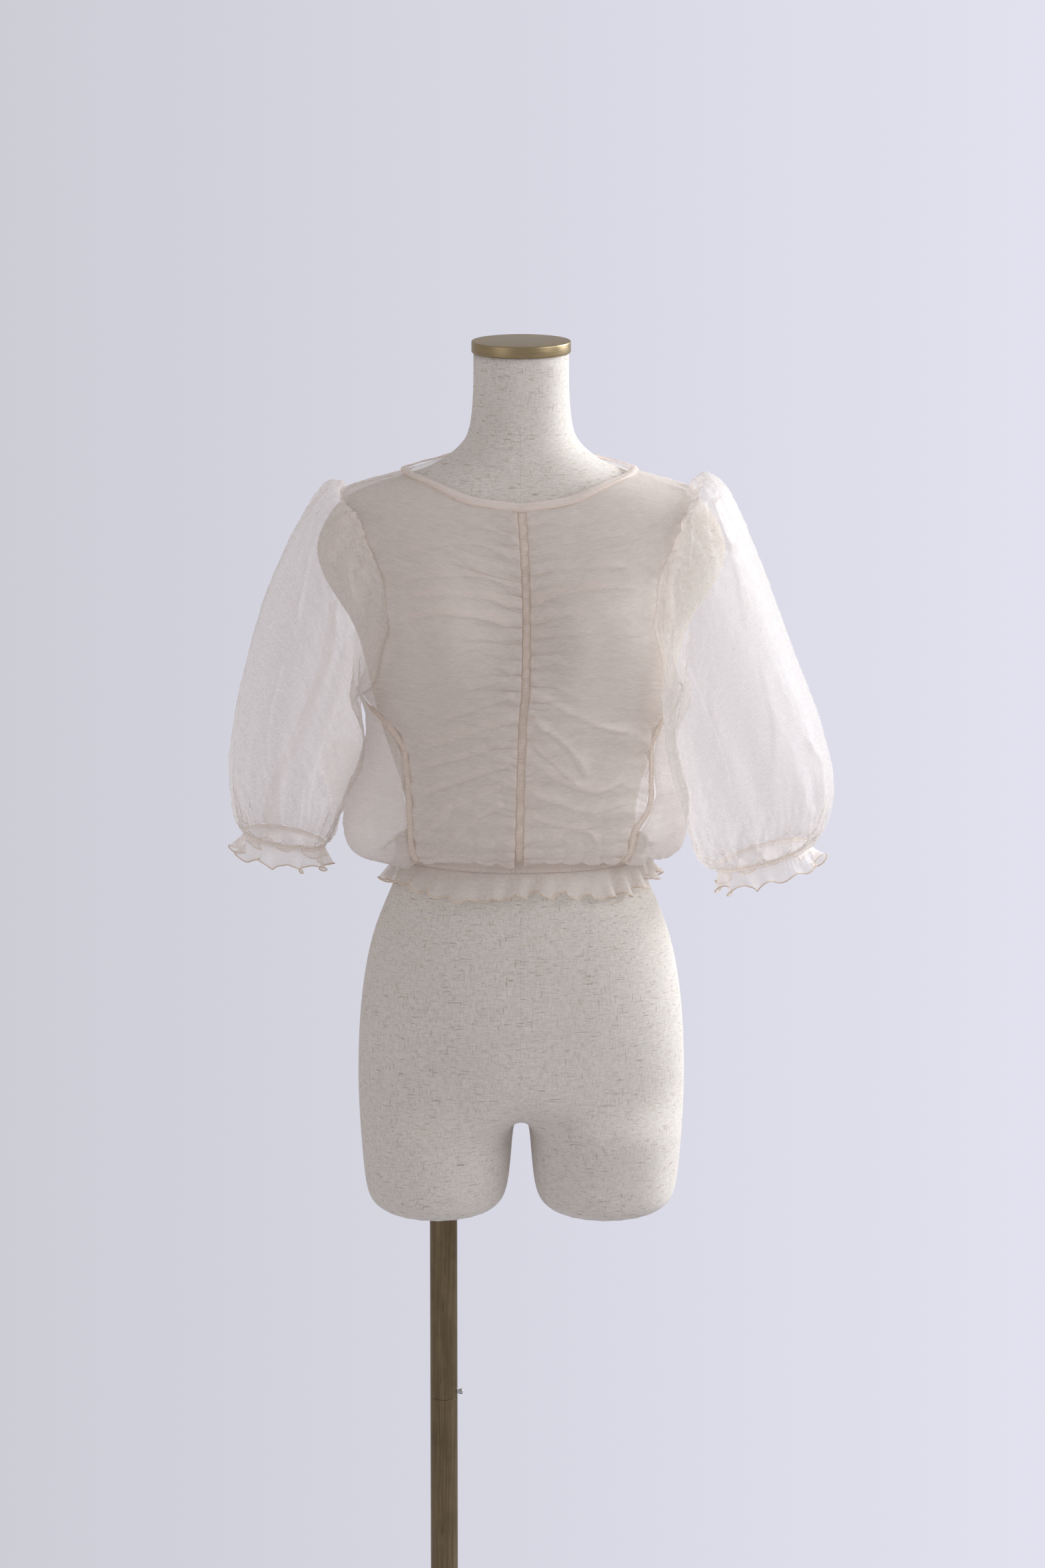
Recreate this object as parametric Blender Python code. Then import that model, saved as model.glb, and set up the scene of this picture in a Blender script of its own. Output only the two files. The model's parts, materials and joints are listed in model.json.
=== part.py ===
"""Sheer gathered top with balloon sleeves, worn by a dress form on a pole.

Metres, +Z up. The origin is the centre of the base's underside, under the pole.
The front faces -Y. Left and right are the wearer's: the left sleeve lies at +X.
The form stands beside the pole, because the pole enters its right thigh.
"""
import math
from collections import namedtuple

import bpy
from mathutils import Vector

# Cloth
CLOTH_WALL = 0.0012
SEAM_GAP = 0.0003
FORM_CLEARANCE = 0.0028
SLEEVE_CLEARANCE = 0.0035
ARMHOLE_GAP = 0.0007
SHOULDER_TIP_GAP = 0.0016

# Form and stand
FORM_X = 0.078
POLE_RADIUS = 0.0137
POLE_JOINT_HEIGHT = 0.417
BASE_RADIUS = 0.165
BASE_HEIGHT = 0.012
CAP_RADIUS = 0.0487
CAP_HEIGHT = 0.0117
NECK_TOP = 1.4785
SCREW_RADIUS = 0.0028
SCREW_REACH = 0.0048
SCREW_HEIGHT = 0.4222
THIGH_BOTTOM = 0.617
CROTCH_HEIGHT = 0.713
TORSO_END = 0.732
FORM_AROUND = 32
INSEAM_POINTS = 7
INSEAM_ANGLE = 64
BASE_EDGE = 0.002
CAP_BEVEL = 0.0015
SCREW_NECK = 0.0012
SCREW_CHAMFER = 0.0006

FormRow = namedtuple("FormRow", "height half_width front back")
FORM_ROWS = [
    FormRow(NECK_TOP, 0.0470, 0.0470, 0.0470),
    FormRow(1.4400, 0.0468, 0.0468, 0.0470),
    FormRow(1.4025, 0.0500, 0.0500, 0.0530),
    FormRow(1.3890, 0.0574, 0.0550, 0.0620),
    FormRow(1.3756, 0.0720, 0.0580, 0.0710),
    FormRow(1.3620, 0.0950, 0.0600, 0.0780),
    FormRow(1.3535, 0.1270, 0.0640, 0.0830),
    FormRow(1.3450, 0.1540, 0.0675, 0.0865),
    FormRow(1.3363, 0.1735, 0.0710, 0.0890),
    FormRow(1.3225, 0.1880, 0.0760, 0.0920),
    FormRow(1.3000, 0.2000, 0.0830, 0.0960),
    FormRow(1.2800, 0.2040, 0.0875, 0.0990),
    FormRow(1.2500, 0.1930, 0.0945, 0.1010),
    FormRow(1.2220, 0.1720, 0.0975, 0.1015),
    FormRow(1.1950, 0.1590, 0.0965, 0.1005),
    FormRow(1.1500, 0.1500, 0.0890, 0.0940),
    FormRow(1.1000, 0.1370, 0.0830, 0.0830),
    FormRow(1.0500, 0.1180, 0.0810, 0.0740),
    FormRow(1.0200, 0.1130, 0.0820, 0.0720),
    FormRow(0.9980, 0.1145, 0.0845, 0.0745),
    FormRow(0.9700, 0.1200, 0.0885, 0.0830),
    FormRow(0.9450, 0.1287, 0.0930, 0.0960),
    FormRow(0.9050, 0.1470, 0.0980, 0.1110),
    FormRow(0.8600, 0.1570, 0.1000, 0.1210),
    FormRow(0.8100, 0.1625, 0.0985, 0.1250),
    FormRow(0.7600, 0.1640, 0.0940, 0.1215),
    FormRow(TORSO_END, 0.1635, 0.0900, 0.1160),
]

ThighRow = namedtuple("ThighRow", "height outer inner front back")
THIGH_ROWS = [
    ThighRow(0.7050, 0.1625, 0.0070, 0.0880, 0.1080),
    ThighRow(0.6850, 0.1610, 0.0090, 0.0850, 0.1010),
    ThighRow(0.6600, 0.1590, 0.0108, 0.0820, 0.0950),
    ThighRow(0.6350, 0.1560, 0.0140, 0.0790, 0.0900),
    ThighRow(0.6230, 0.1500, 0.0200, 0.0740, 0.0850),
    ThighRow(THIGH_BOTTOM, 0.1390, 0.0300, 0.0640, 0.0750),
]

# The bust stands out in front of the form's plain sections, and of the cloth's
BUST_X = 0.083
BUST_HEIGHT = 1.222
BUST_REACH = 0.031
BUST_SPREAD_X = 0.044
BUST_SPREAD_UP = 0.055
BUST_SPREAD_DOWN_FORM = 0.040
BUST_SPREAD_DOWN_CLOTH = 0.062
BUST_SIDE_FADE = 3.0

# The top's body: share 0 is the cloth at the waist elastic, 1 is above the neckline.
# Between them the cloth blouses over the elastic, more at the sides than in front.
BodyRow = namedtuple("BodyRow", "share height right left front back droop")
BODY_ROWS = [
    BodyRow(0.000, 0.9950, 0.1250, 0.1250, 0.0930, 0.0860, 0.000),
    BodyRow(0.040, 0.9925, 0.1360, 0.1330, 0.0990, 0.0930, 0.010),
    BodyRow(0.080, 0.9950, 0.1520, 0.1470, 0.1040, 0.1000, 0.017),
    BodyRow(0.120, 1.0020, 0.1670, 0.1580, 0.1075, 0.1050, 0.016),
    BodyRow(0.160, 1.0150, 0.1760, 0.1640, 0.1090, 0.1070, 0.008),
    BodyRow(0.210, 1.0380, 0.1725, 0.1635, 0.1085, 0.1050, 0.001),
    BodyRow(0.270, 1.0680, 0.1590, 0.1560, 0.1070, 0.1020, 0.000),
    BodyRow(0.345, 1.1050, 0.1510, 0.1500, 0.1065, 0.1015, 0.000),
    BodyRow(0.425, 1.1450, 0.1610, 0.1600, 0.1065, 0.1040, 0.000),
    BodyRow(0.490, 1.1780, 0.1700, 0.1700, 0.1070, 0.1075, 0.000),
    BodyRow(0.575, 1.2220, 0.1870, 0.1870, 0.1070, 0.1095, 0.000),
    BodyRow(0.630, 1.2500, 0.2020, 0.2020, 0.1040, 0.1090, 0.000),
    BodyRow(0.690, 1.2800, 0.2115, 0.2115, 0.0975, 0.1080, 0.000),
    BodyRow(0.730, 1.3000, 0.2080, 0.2080, 0.0930, 0.1060, 0.000),
    BodyRow(0.775, 1.3220, 0.1945, 0.1945, 0.0865, 0.1020, 0.000),
    BodyRow(0.830, 1.3446, 0.1700, 0.1660, 0.0775, 0.0960, 0.000),
    BodyRow(0.890, 1.3600, 0.1150, 0.1120, 0.0700, 0.0880, 0.000),
    BodyRow(0.940, 1.3720, 0.0870, 0.0850, 0.0660, 0.0820, 0.000),
    BodyRow(1.000, 1.3860, 0.0700, 0.0690, 0.0620, 0.0720, 0.000),
]
BLOUSE_SHARE = 0.16
BLOUSE_TOP_SHARE = 0.235

# Angles run from the centre front (0) over the side (90) to the centre back (180)
AngleRow = namedtuple("AngleRow", "angle height")
NECKLINE_ROWS = [
    AngleRow(0, 1.3400),
    AngleRow(14, 1.3447),
    AngleRow(28, 1.3525),
    AngleRow(50, 1.3590),
    AngleRow(70, 1.3612),
    AngleRow(90, 1.3618),
    AngleRow(120, 1.3660),
    AngleRow(150, 1.3710),
    AngleRow(180, 1.3725),
]
FRONT_ARMHOLE_ROWS = [
    AngleRow(90, 1.3446),
    AngleRow(57, 1.3230),
    AngleRow(46, 1.2990),
    AngleRow(40, 1.2710),
    AngleRow(43, 1.2260),
    AngleRow(51, 1.1930),
    AngleRow(61, 1.1590),
    AngleRow(78, 1.1420),
]
BACK_ARMHOLE_ROWS = [
    AngleRow(78, 1.1420),
    AngleRow(98, 1.1470),
    AngleRow(113, 1.1620),
    AngleRow(122, 1.1930),
    AngleRow(129, 1.2260),
    AngleRow(134, 1.2710),
    AngleRow(130, 1.2990),
    AngleRow(118, 1.3230),
    AngleRow(90, 1.3446),
]

StripRow = namedtuple("StripRow", "share offset")
CENTRE_STRIP_ROWS = [
    StripRow(0.000, -0.0026),
    StripRow(0.200, -0.0012),
    StripRow(0.410, 0.0020),
    StripRow(0.450, 0.0043),
    StripRow(0.600, 0.0053),
    StripRow(0.830, 0.0000),
]
CENTRE_STRIP_WIDTH = 0.0074
SIDE_STRIP_WIDTH = 0.0066
SideStripRow = namedtuple("SideStripRow", "share right left")
SIDE_STRIP_ROWS = [
    SideStripRow(0.000, 47.0, 49.0),
    SideStripRow(0.080, 42.0, 43.0),
    SideStripRow(0.160, 38.0, 42.0),
    SideStripRow(0.210, 39.5, 50.0),
    SideStripRow(0.270, 44.5, 55.0),
    SideStripRow(0.345, 51.0, 59.5),
    SideStripRow(0.420, 78.0, 78.0),
]

# Gathers drawn up by the strips and seams; a second, slower wave makes them uneven
UNEVEN_SHARE = 0.25
UNEVEN_PITCH = 0.61
UNEVEN_SHIFT = 1.3
CENTRE_GATHERS = 23
CENTRE_GATHER_HEIGHT = 0.0030
CENTRE_GATHER_FADE = 0.034
SIDE_GATHERS = 10
SIDE_GATHER_HEIGHT = 0.0026
SIDE_GATHER_FADE = 0.026
ARMHOLE_GATHERS = 9
ARMHOLE_GATHER_HEIGHT = 0.0024
ARMHOLE_GATHER_FADE = 0.030
BACK_WAVES = 9
BACK_WAVE_HEIGHT = 0.0022
BACK_WAVE_TOP = 0.45
BACK_WAVE_FULL = 0.10
ARMHOLE_GATHER_LOW = 1.210
ARMHOLE_GATHER_HIGH = 1.290

# Main folds of the front: their run from the centre strip outwards, as x from the
# form's middle and height, with how far the fold stands out and how wide it is
Fold = namedtuple("Fold", "run height width")
FRONT_FOLDS = {
    -1: [
        Fold([(-0.004, 1.136), (-0.034, 1.124), (-0.096, 1.100)], 0.0065, 0.0085),
        Fold([(-0.004, 1.121), (-0.043, 1.105), (-0.108, 1.086)], 0.0035, 0.0070),
        Fold([(-0.005, 1.103), (-0.040, 1.086), (-0.108, 1.062)], 0.0045, 0.0080),
        Fold([(-0.006, 1.071), (-0.045, 1.053), (-0.085, 1.033), (-0.104, 1.022)], 0.0050, 0.0085),
        Fold([(-0.010, 1.285), (-0.060, 1.290), (-0.120, 1.272)], 0.0030, 0.0100),
        Fold([(-0.010, 1.232), (-0.070, 1.244), (-0.124, 1.240)], 0.0035, 0.0095),
    ],
    1: [
        Fold([(0.010, 1.154), (0.048, 1.134), (0.077, 1.118), (0.122, 1.105)], 0.0040, 0.0080),
        Fold([(0.010, 1.135), (0.031, 1.108), (0.058, 1.076), (0.068, 1.066)], 0.0070, 0.0085),
        Fold([(0.006, 1.096), (0.037, 1.077), (0.070, 1.061), (0.100, 1.068)], 0.0050, 0.0085),
        Fold([(0.004, 1.063), (0.034, 1.049), (0.061, 1.038), (0.120, 1.040)], 0.0045, 0.0080),
        Fold([(0.014, 1.270), (0.065, 1.282), (0.118, 1.290)], 0.0035, 0.0100),
        Fold([(0.014, 1.235), (0.060, 1.238), (0.120, 1.246)], 0.0035, 0.0095),
    ],
}
FOLD_END_FADE = 0.012

# Grid sizes of the cloth panels
FRONT_ROWS = 69
FRONT_COLUMNS = (0.0, 0.06, 0.16, 0.31, 0.50, 0.73, 1.0)
BACK_COLUMNS = 14
SIDE_ROW_STEP = 3
SLEEVE_HALF = 18
SLEEVE_AROUND = 2 * SLEEVE_HALF

BINDING_WIDTH = 0.0075
BINDING_PROUD = CLOTH_WALL + 2 * SEAM_GAP
BINDING_STEPS = 60
KNOT_HEIGHT = 0.0030
KNOT_SPREAD = 9.0

# Sleeves: rings from the armhole to the cuff, by their outermost and innermost points,
# their depth in front and behind, and how far their front leans over the chest
SleeveRow = namedtuple("SleeveRow", "outer_x outer_z inner_x inner_z front back lean")
SLEEVE_ROWS = {
    -1: [
        SleeveRow(0.1790, 1.3480, 0.1710, 1.1330, 0.0780, 0.0840, 0.002),
        SleeveRow(0.1940, 1.3430, 0.1670, 1.1240, 0.0850, 0.0870, 0.012),
        SleeveRow(0.2110, 1.3190, 0.1600, 1.1100, 0.0880, 0.0880, 0.018),
        SleeveRow(0.2310, 1.2840, 0.1560, 1.0950, 0.0890, 0.0880, 0.018),
        SleeveRow(0.2520, 1.2360, 0.1540, 1.0800, 0.0890, 0.0880, 0.014),
        SleeveRow(0.2700, 1.1750, 0.1570, 1.0640, 0.0870, 0.0870, 0.010),
        SleeveRow(0.2840, 1.1060, 0.1660, 1.0500, 0.0840, 0.0840, 0.006),
        SleeveRow(0.2870, 1.0540, 0.1770, 1.0280, 0.0760, 0.0760, 0.003),
        SleeveRow(0.2800, 1.0150, 0.1870, 1.0020, 0.0550, 0.0550, 0.000),
        SleeveRow(0.2740, 1.0040, 0.1940, 0.9900, 0.0420, 0.0420, 0.000),
    ],
    1: [
        SleeveRow(0.1730, 1.3530, 0.1700, 1.1330, 0.0800, 0.0840, 0.014),
        SleeveRow(0.1840, 1.3560, 0.1650, 1.1230, 0.0900, 0.0880, 0.024),
        SleeveRow(0.2010, 1.3410, 0.1570, 1.1080, 0.0960, 0.0890, 0.033),
        SleeveRow(0.2210, 1.3040, 0.1520, 1.0920, 0.0980, 0.0900, 0.038),
        SleeveRow(0.2430, 1.2500, 0.1490, 1.0750, 0.0980, 0.0900, 0.034),
        SleeveRow(0.2680, 1.1830, 0.1510, 1.0560, 0.0960, 0.0890, 0.028),
        SleeveRow(0.2940, 1.1140, 0.1560, 1.0340, 0.0910, 0.0860, 0.018),
        SleeveRow(0.3070, 1.0500, 0.1640, 1.0060, 0.0810, 0.0770, 0.009),
        SleeveRow(0.2980, 1.0060, 0.1760, 0.9760, 0.0590, 0.0570, 0.002),
        SleeveRow(0.2850, 0.9920, 0.1940, 0.9670, 0.0440, 0.0440, 0.000),
    ],
}
SLEEVE_SQUARENESS = 2.25
# The first rings turn from the armhole's outline to the sleeve's own, and puff out
HEAD_BLENDS = (0.0, 0.40, 0.75)
HEAD_PUFFS = (0.0, 0.0040, 0.0035)
HEAD_GATHERS = 13
HEAD_GATHER_HEIGHT = 0.0042
CUFF_GATHERS = 14
CUFF_GATHER_HEIGHT = 0.0034
HEAD_GATHER_SHARES = (0.0, 0.30, 0.72, 0.50, 0.25, 0.08, 0.0, 0.0, 0.0, 0.0, 0.0)
CUFF_GATHER_SHARES = (0.0, 0.0, 0.0, 0.0, 0.0, 0.05, 0.14, 0.35, 0.80, 1.0, 0.5)

# Elastics and ruffles
WAIST_TOP = 0.9940
WAIST_BOTTOM = 0.9775
WAIST_HALF_WIDTH = 0.1236
WAIST_FRONT = 0.0918
WAIST_BACK = 0.0850
WAIST_STEPS = 48
HEM_WAVES = 28
HEM_POINTS_A_WAVE = 4
HEM_DROP = 0.0230
HEM_FLARE = 0.0110
HEM_WAVE_REACH = 0.0060
HEM_DIPS = 5
HEM_DIP = 0.0040
HEM_DIP_SHIFT = 0.7
RUFFLE_PARTS = (0.0, 0.45, 1.0)
RUFFLE_SWING = 0.8
CUFF_GAP = 0.0007
CUFF_BAND_WIDTH = 0.0050
CUFF_BAND_STEPS = 28
CUFF_WAVES = {-1: 10, 1: 8}
CUFF_POINTS_A_WAVE = 4
CUFF_RUFFLE_DROP = 0.0170
CUFF_RUFFLE_FLARE = 0.0060
CUFF_WAVE_REACH = {-1: 0.0050, 1: 0.0036}

# Finishes: colour, roughness, metallic
Finish = namedtuple("Finish", "colour roughness metallic")
FINISHES = {
    "organza": Finish((0.84, 0.76, 0.69), 0.55, 0.0),
    "organza_edge": Finish((0.78, 0.66, 0.54), 0.60, 0.0),
    "elastic_strip": Finish((0.80, 0.70, 0.60), 0.60, 0.0),
    "linen": Finish((0.76, 0.73, 0.69), 0.85, 0.0),
    "brushed_brass": Finish((0.58, 0.47, 0.25), 0.35, 1.0),
    "aged_brass": Finish((0.24, 0.19, 0.12), 0.45, 1.0),
    "steel": Finish((0.60, 0.60, 0.60), 0.30, 1.0),
}


def clear_scene():
    for thing in list(bpy.data.objects):
        bpy.data.objects.remove(thing, do_unlink=True)


def finish(name):
    """The named material, made the first time it is asked for."""
    material = bpy.data.materials.get(name)
    if material is None:
        material = bpy.data.materials.new(name)
        material.use_nodes = True
        shader = material.node_tree.nodes["Principled BSDF"]
        look = FINISHES[name]
        shader.inputs["Base Color"].default_value = (*look.colour, 1.0)
        shader.inputs["Roughness"].default_value = look.roughness
        shader.inputs["Metallic"].default_value = look.metallic
    return material


def new_object(name, points, faces, material, smooth=True):
    mesh = bpy.data.meshes.new(name)
    mesh.from_pydata([tuple(p) for p in points], [], faces)
    mesh.validate()
    thing = bpy.data.objects.new(name, mesh)
    bpy.context.scene.collection.objects.link(thing)
    mesh.materials.append(finish(material))
    if smooth:
        mesh.shade_smooth()
    return thing


def smooth_table(rows, key, value):
    """A smooth curve through a table's rows that doesn't swing past them."""
    pairs = sorted((getattr(row, key), getattr(row, value)) for row in rows)
    xs = [pair[0] for pair in pairs]
    ys = [pair[1] for pair in pairs]
    steps = [(ys[i + 1] - ys[i]) / (xs[i + 1] - xs[i]) for i in range(len(xs) - 1)]
    slopes = [steps[0]]
    for before, after in zip(steps, steps[1:]):
        level = before * after <= 0
        slopes.append(0.0 if level else 2 * before * after / (before + after))
    slopes.append(steps[-1])

    def value_at(x):
        if x <= xs[0]:
            return ys[0]
        if x >= xs[-1]:
            return ys[-1]
        i = max(k for k in range(len(xs) - 1) if xs[k] <= x)
        width = xs[i + 1] - xs[i]
        t = (x - xs[i]) / width
        rise = ys[i + 1] - ys[i]
        a = slopes[i] * width - rise
        b = rise - slopes[i + 1] * width
        return (1 - t) * ys[i] + t * ys[i + 1] + t * (1 - t) * ((1 - t) * a + t * b)

    return value_at


def bump(distance, spread):
    return math.exp(-(distance / spread) ** 2)


def smoothstep(low, high, x):
    t = min(1.0, max(0.0, (x - low) / (high - low)))
    return t * t * (3 - 2 * t)


form_half_width = smooth_table(FORM_ROWS, "height", "half_width")
form_front = smooth_table(FORM_ROWS, "height", "front")
form_back = smooth_table(FORM_ROWS, "height", "back")


def bust_reach(x, height, spread_down):
    """How far the bust stands out at x from the form's middle."""
    rise = height - BUST_HEIGHT
    spread = BUST_SPREAD_UP if rise > 0 else spread_down
    return BUST_REACH * bump(abs(x) - BUST_X, BUST_SPREAD_X) * bump(rise, spread)


def form_point(angle, height):
    """A point of the form, with the angle in degrees from the centre front."""
    x = form_half_width(height) * math.sin(math.radians(angle))
    depth = math.cos(math.radians(angle))
    if depth > 0:
        bust = bust_reach(x, height, BUST_SPREAD_DOWN_FORM) * min(1, BUST_SIDE_FADE * depth)
        y = -form_front(height) * depth - bust
    else:
        y = -form_back(height) * depth
    return Vector((FORM_X + x, y, height))


def clear_of_form(point, clearance):
    """The point, moved outwards where it would lie too near the form."""
    x = point.x - FORM_X
    height = min(point.z, NECK_TOP)
    half_width = form_half_width(height)
    bust = bust_reach(x, height, BUST_SPREAD_DOWN_FORM)
    depth = form_front(height) + bust if point.y < 0 else form_back(height)
    ratio = math.hypot(x / (half_width + clearance), point.y / (depth + clearance))
    if ratio >= 1.0:
        return point
    return Vector((FORM_X + x / ratio, point.y / ratio, point.z))


body_height = smooth_table(BODY_ROWS, "share", "height")
body_half_width = {
    -1: smooth_table(BODY_ROWS, "share", "right"),
    1: smooth_table(BODY_ROWS, "share", "left"),
}
body_front = smooth_table(BODY_ROWS, "share", "front")
body_back = smooth_table(BODY_ROWS, "share", "back")
body_droop = smooth_table(BODY_ROWS, "share", "droop")


def share_at(height):
    """The share of the body rows at a height above the blouse."""
    low = BLOUSE_SHARE
    high = 1.0
    for _ in range(30):
        middle = (low + high) / 2
        if body_height(middle) < height:
            low = middle
        else:
            high = middle
    return low


def body_point(side, angle, share):
    """A point on the smooth body of the top. Angles past 180 belong to the other side."""
    turn = math.radians(angle)
    x = side * body_half_width[side](share) * math.sin(turn)
    depth = math.cos(turn)
    height = body_height(share) - body_droop(share) * math.sin(turn) ** 2
    if depth > 0:
        bust = bust_reach(x, height, BUST_SPREAD_DOWN_CLOTH) * min(1, BUST_SIDE_FADE * depth)
        y = -body_front(share) * depth - bust
    else:
        y = -body_back(share) * depth
    point = Vector((FORM_X + x, y, height))
    return clear_of_form(point, FORM_CLEARANCE)


def body_normal(side, angle, share):
    """Outward normal of the smooth body."""
    around = body_point(side, angle + 1.0, share) - body_point(side, angle - 1.0, share)
    upward = body_point(side, angle, share + 0.005) - body_point(side, angle, share - 0.005)
    normal = around.cross(upward) * side
    return normal.normalized()


def angle_step(side, angle, share, distance):
    """Degrees that move a point by a distance round the body."""
    reach = (body_point(side, angle + 1.0, share) - body_point(side, angle - 1.0, share)).length / 2
    return distance / reach


def share_step(side, angle, share, distance):
    """Share that moves a point by a distance up the body."""
    reach = (body_point(side, angle, share + 0.004) - body_point(side, angle, share - 0.004)).length / 0.008
    return distance / reach


def segment_distance(x, z, a, b):
    """Distance from a point to a segment, and how far along it the nearest point is."""
    dx = b[0] - a[0]
    dz = b[1] - a[1]
    length = math.hypot(dx, dz)
    t = min(1.0, max(0.0, ((x - a[0]) * dx + (z - a[1]) * dz) / length ** 2))
    return math.hypot(x - a[0] - t * dx, z - a[1] - t * dz), t * length


def fold_height(side, x, z):
    """How far the main folds lift the front at x from the form's middle."""
    total = 0.0
    for fold in FRONT_FOLDS[side]:
        lengths = [math.dist(a, b) for a, b in zip(fold.run, fold.run[1:])]
        nearest = None
        walked = 0.0
        for (a, b), length in zip(zip(fold.run, fold.run[1:]), lengths):
            distance, along = segment_distance(x, z, a, b)
            if nearest is None or distance < nearest[0]:
                nearest = (distance, walked + along)
            walked += length
        distance, along = nearest
        ends = smoothstep(-FOLD_END_FADE, FOLD_END_FADE, along)
        ends *= smoothstep(-FOLD_END_FADE, 2 * FOLD_END_FADE, walked - along)
        total = max(total, fold.height * bump(distance, fold.width) * ends)
    return total


def gather_wave(turns, amount):
    """Uneven wave for one row of gathers: turns counts the gathers passed."""
    phase = 2 * math.pi * turns
    slow = UNEVEN_SHARE * math.cos(UNEVEN_PITCH * phase + UNEVEN_SHIFT)
    return amount * ((1 - UNEVEN_SHARE) * math.cos(phase) + slow)


centre_strip_x = smooth_table(CENTRE_STRIP_ROWS, "share", "offset")
side_strip_angle = {
    -1: smooth_table(SIDE_STRIP_ROWS, "share", "right"),
    1: smooth_table(SIDE_STRIP_ROWS, "share", "left"),
}


def centre_angle(side, share, distance):
    """Angle on this side of a line at a distance from the centre strip's middle line."""
    x = side * centre_strip_x(share) + distance
    return math.degrees(math.asin(x / body_half_width[side](share)))


UNDERARM_SHARE = share_at(FRONT_ARMHOLE_ROWS[-1].height)
SHOULDER_SHARE = share_at(FRONT_ARMHOLE_ROWS[0].height)

# Rows of the front panels, counted from the waist: the underarm and the shoulder tip
UNDERARM_ROW = 28
SHOULDER_ROW = UNDERARM_ROW + 2 * SLEEVE_HALF
ROW_PARTS = [i / (FRONT_ROWS - 1) for i in range(FRONT_ROWS)]
UNDERARM_PART = ROW_PARTS[UNDERARM_ROW]
SHOULDER_PART = ROW_PARTS[SHOULDER_ROW]


def spread_along(rows, side, parts):
    """Angle and share along rows of an armhole, at equal parts of its length."""
    shares = [share_at(row.height) for row in rows]
    angles = [row.angle for row in rows]
    fine = []
    per_row = 12
    for i in range(len(rows) - 1):
        before = max(i - 1, 0)
        after = min(i + 2, len(rows) - 1)
        for k in range(per_row):
            t = k / per_row
            fine.append((hermite(angles, before, i, after, t), hermite(shares, before, i, after, t)))
    fine.append((angles[-1], shares[-1]))
    points = [body_point(side, angle, share) for angle, share in fine]
    walked = [0.0]
    for a, b in zip(points, points[1:]):
        walked.append(walked[-1] + (b - a).length)

    def at(part):
        target = part * walked[-1]
        i = max(k for k in range(len(walked) - 1) if walked[k] <= target + 1e-9)
        t = (target - walked[i]) / (walked[i + 1] - walked[i])
        return (
            fine[i][0] * (1 - t) + fine[i + 1][0] * t,
            fine[i][1] * (1 - t) + fine[i + 1][1] * t,
        )

    return [at(part) for part in parts]


def hermite(values, before, i, after, t):
    """Smooth step from values[i] to values[i + 1] that follows their neighbours."""
    start = values[i]
    end = values[i + 1]
    slope_a = (end - values[before]) / 2 if before != i else end - start
    slope_b = (values[after] - start) / 2 if after != i + 1 else end - start
    a = 2 * t ** 3 - 3 * t ** 2 + 1
    b = t ** 3 - 2 * t ** 2 + t
    c = -2 * t ** 3 + 3 * t ** 2
    d = t ** 3 - t ** 2
    return a * start + b * slope_a + c * end + d * slope_b


neckline_height = smooth_table(NECKLINE_ROWS, "angle", "height")


def neckline_share(side, angle, below):
    """Share of the neckline, or of a line that runs a distance below it."""
    share = share_at(neckline_height(angle))
    return share - share_step(side, angle, share - 0.01, below)


def panel_edge(side, armhole_rows, parts):
    """Outer edge of a panel from the waist to the neck: angle, share and kind of seam."""
    knots = spread_along(armhole_rows, side, [k / SLEEVE_HALF for k in range(SLEEVE_HALF + 1)])
    neck_share = neckline_share(side, 90, 0.0)
    edge = []
    for p in parts:
        if p <= UNDERARM_PART:
            share = UNDERARM_SHARE * p / UNDERARM_PART
            edge.append((side_strip_angle[side](share), share, "strip"))
        elif p < SHOULDER_PART:
            place = (p - UNDERARM_PART) / (SHOULDER_PART - UNDERARM_PART) * SLEEVE_HALF
            k = min(int(place + 1e-6), SLEEVE_HALF - 1)
            t = place - k
            angle = knots[k][0] * (1 - t) + knots[k + 1][0] * t
            share = knots[k][1] * (1 - t) + knots[k + 1][1] * t
            edge.append((angle, share, "armhole"))
        else:
            t = (p - SHOULDER_PART) / (1 - SHOULDER_PART)
            edge.append((90.0, SHOULDER_SHARE + t * (neck_share - SHOULDER_SHARE), "shoulder"))
    return edge


def strip_rows():
    """Rows that all the pieces at a side strip share, counted from the waist."""
    blouse_rows = sum(1 for part in ROW_PARTS if part * UNDERARM_SHARE / UNDERARM_PART < BLOUSE_TOP_SHARE)
    return list(range(blouse_rows)) + list(range(blouse_rows, UNDERARM_ROW, SIDE_ROW_STEP)) + [UNDERARM_ROW]


STRIP_KNOTS = [UNDERARM_SHARE * row / UNDERARM_ROW for row in strip_rows()]


def strip_reach(side, share, distance):
    """Degrees from a side strip's middle line to a line at a distance from it."""
    step = 0.006
    low = max(share - step, 0.0)
    high = min(share + step, UNDERARM_SHARE)
    angle_at = side_strip_angle[side]
    across = math.radians(angle_at(high) - angle_at(low)) * body_half_width[side](share)
    upward = (body_point(side, angle_at(share), high) - body_point(side, angle_at(share), low)).length
    return angle_step(side, angle_at(share), share, distance * math.hypot(1.0, across / upward))


def strip_line(side, share, offset):
    """Angle of a line beside a side strip's middle, straight between the shared rows."""
    k = max(i for i in range(len(STRIP_KNOTS) - 1) if STRIP_KNOTS[i] <= share + 1e-9)
    ends = []
    for knot in STRIP_KNOTS[k:k + 2]:
        reach = strip_reach(side, knot, abs(offset))
        ends.append(side_strip_angle[side](knot) + math.copysign(reach, offset))
    t = (share - STRIP_KNOTS[k]) / (STRIP_KNOTS[k + 1] - STRIP_KNOTS[k])
    return ends[0] * (1 - t) + ends[1] * t


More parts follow.
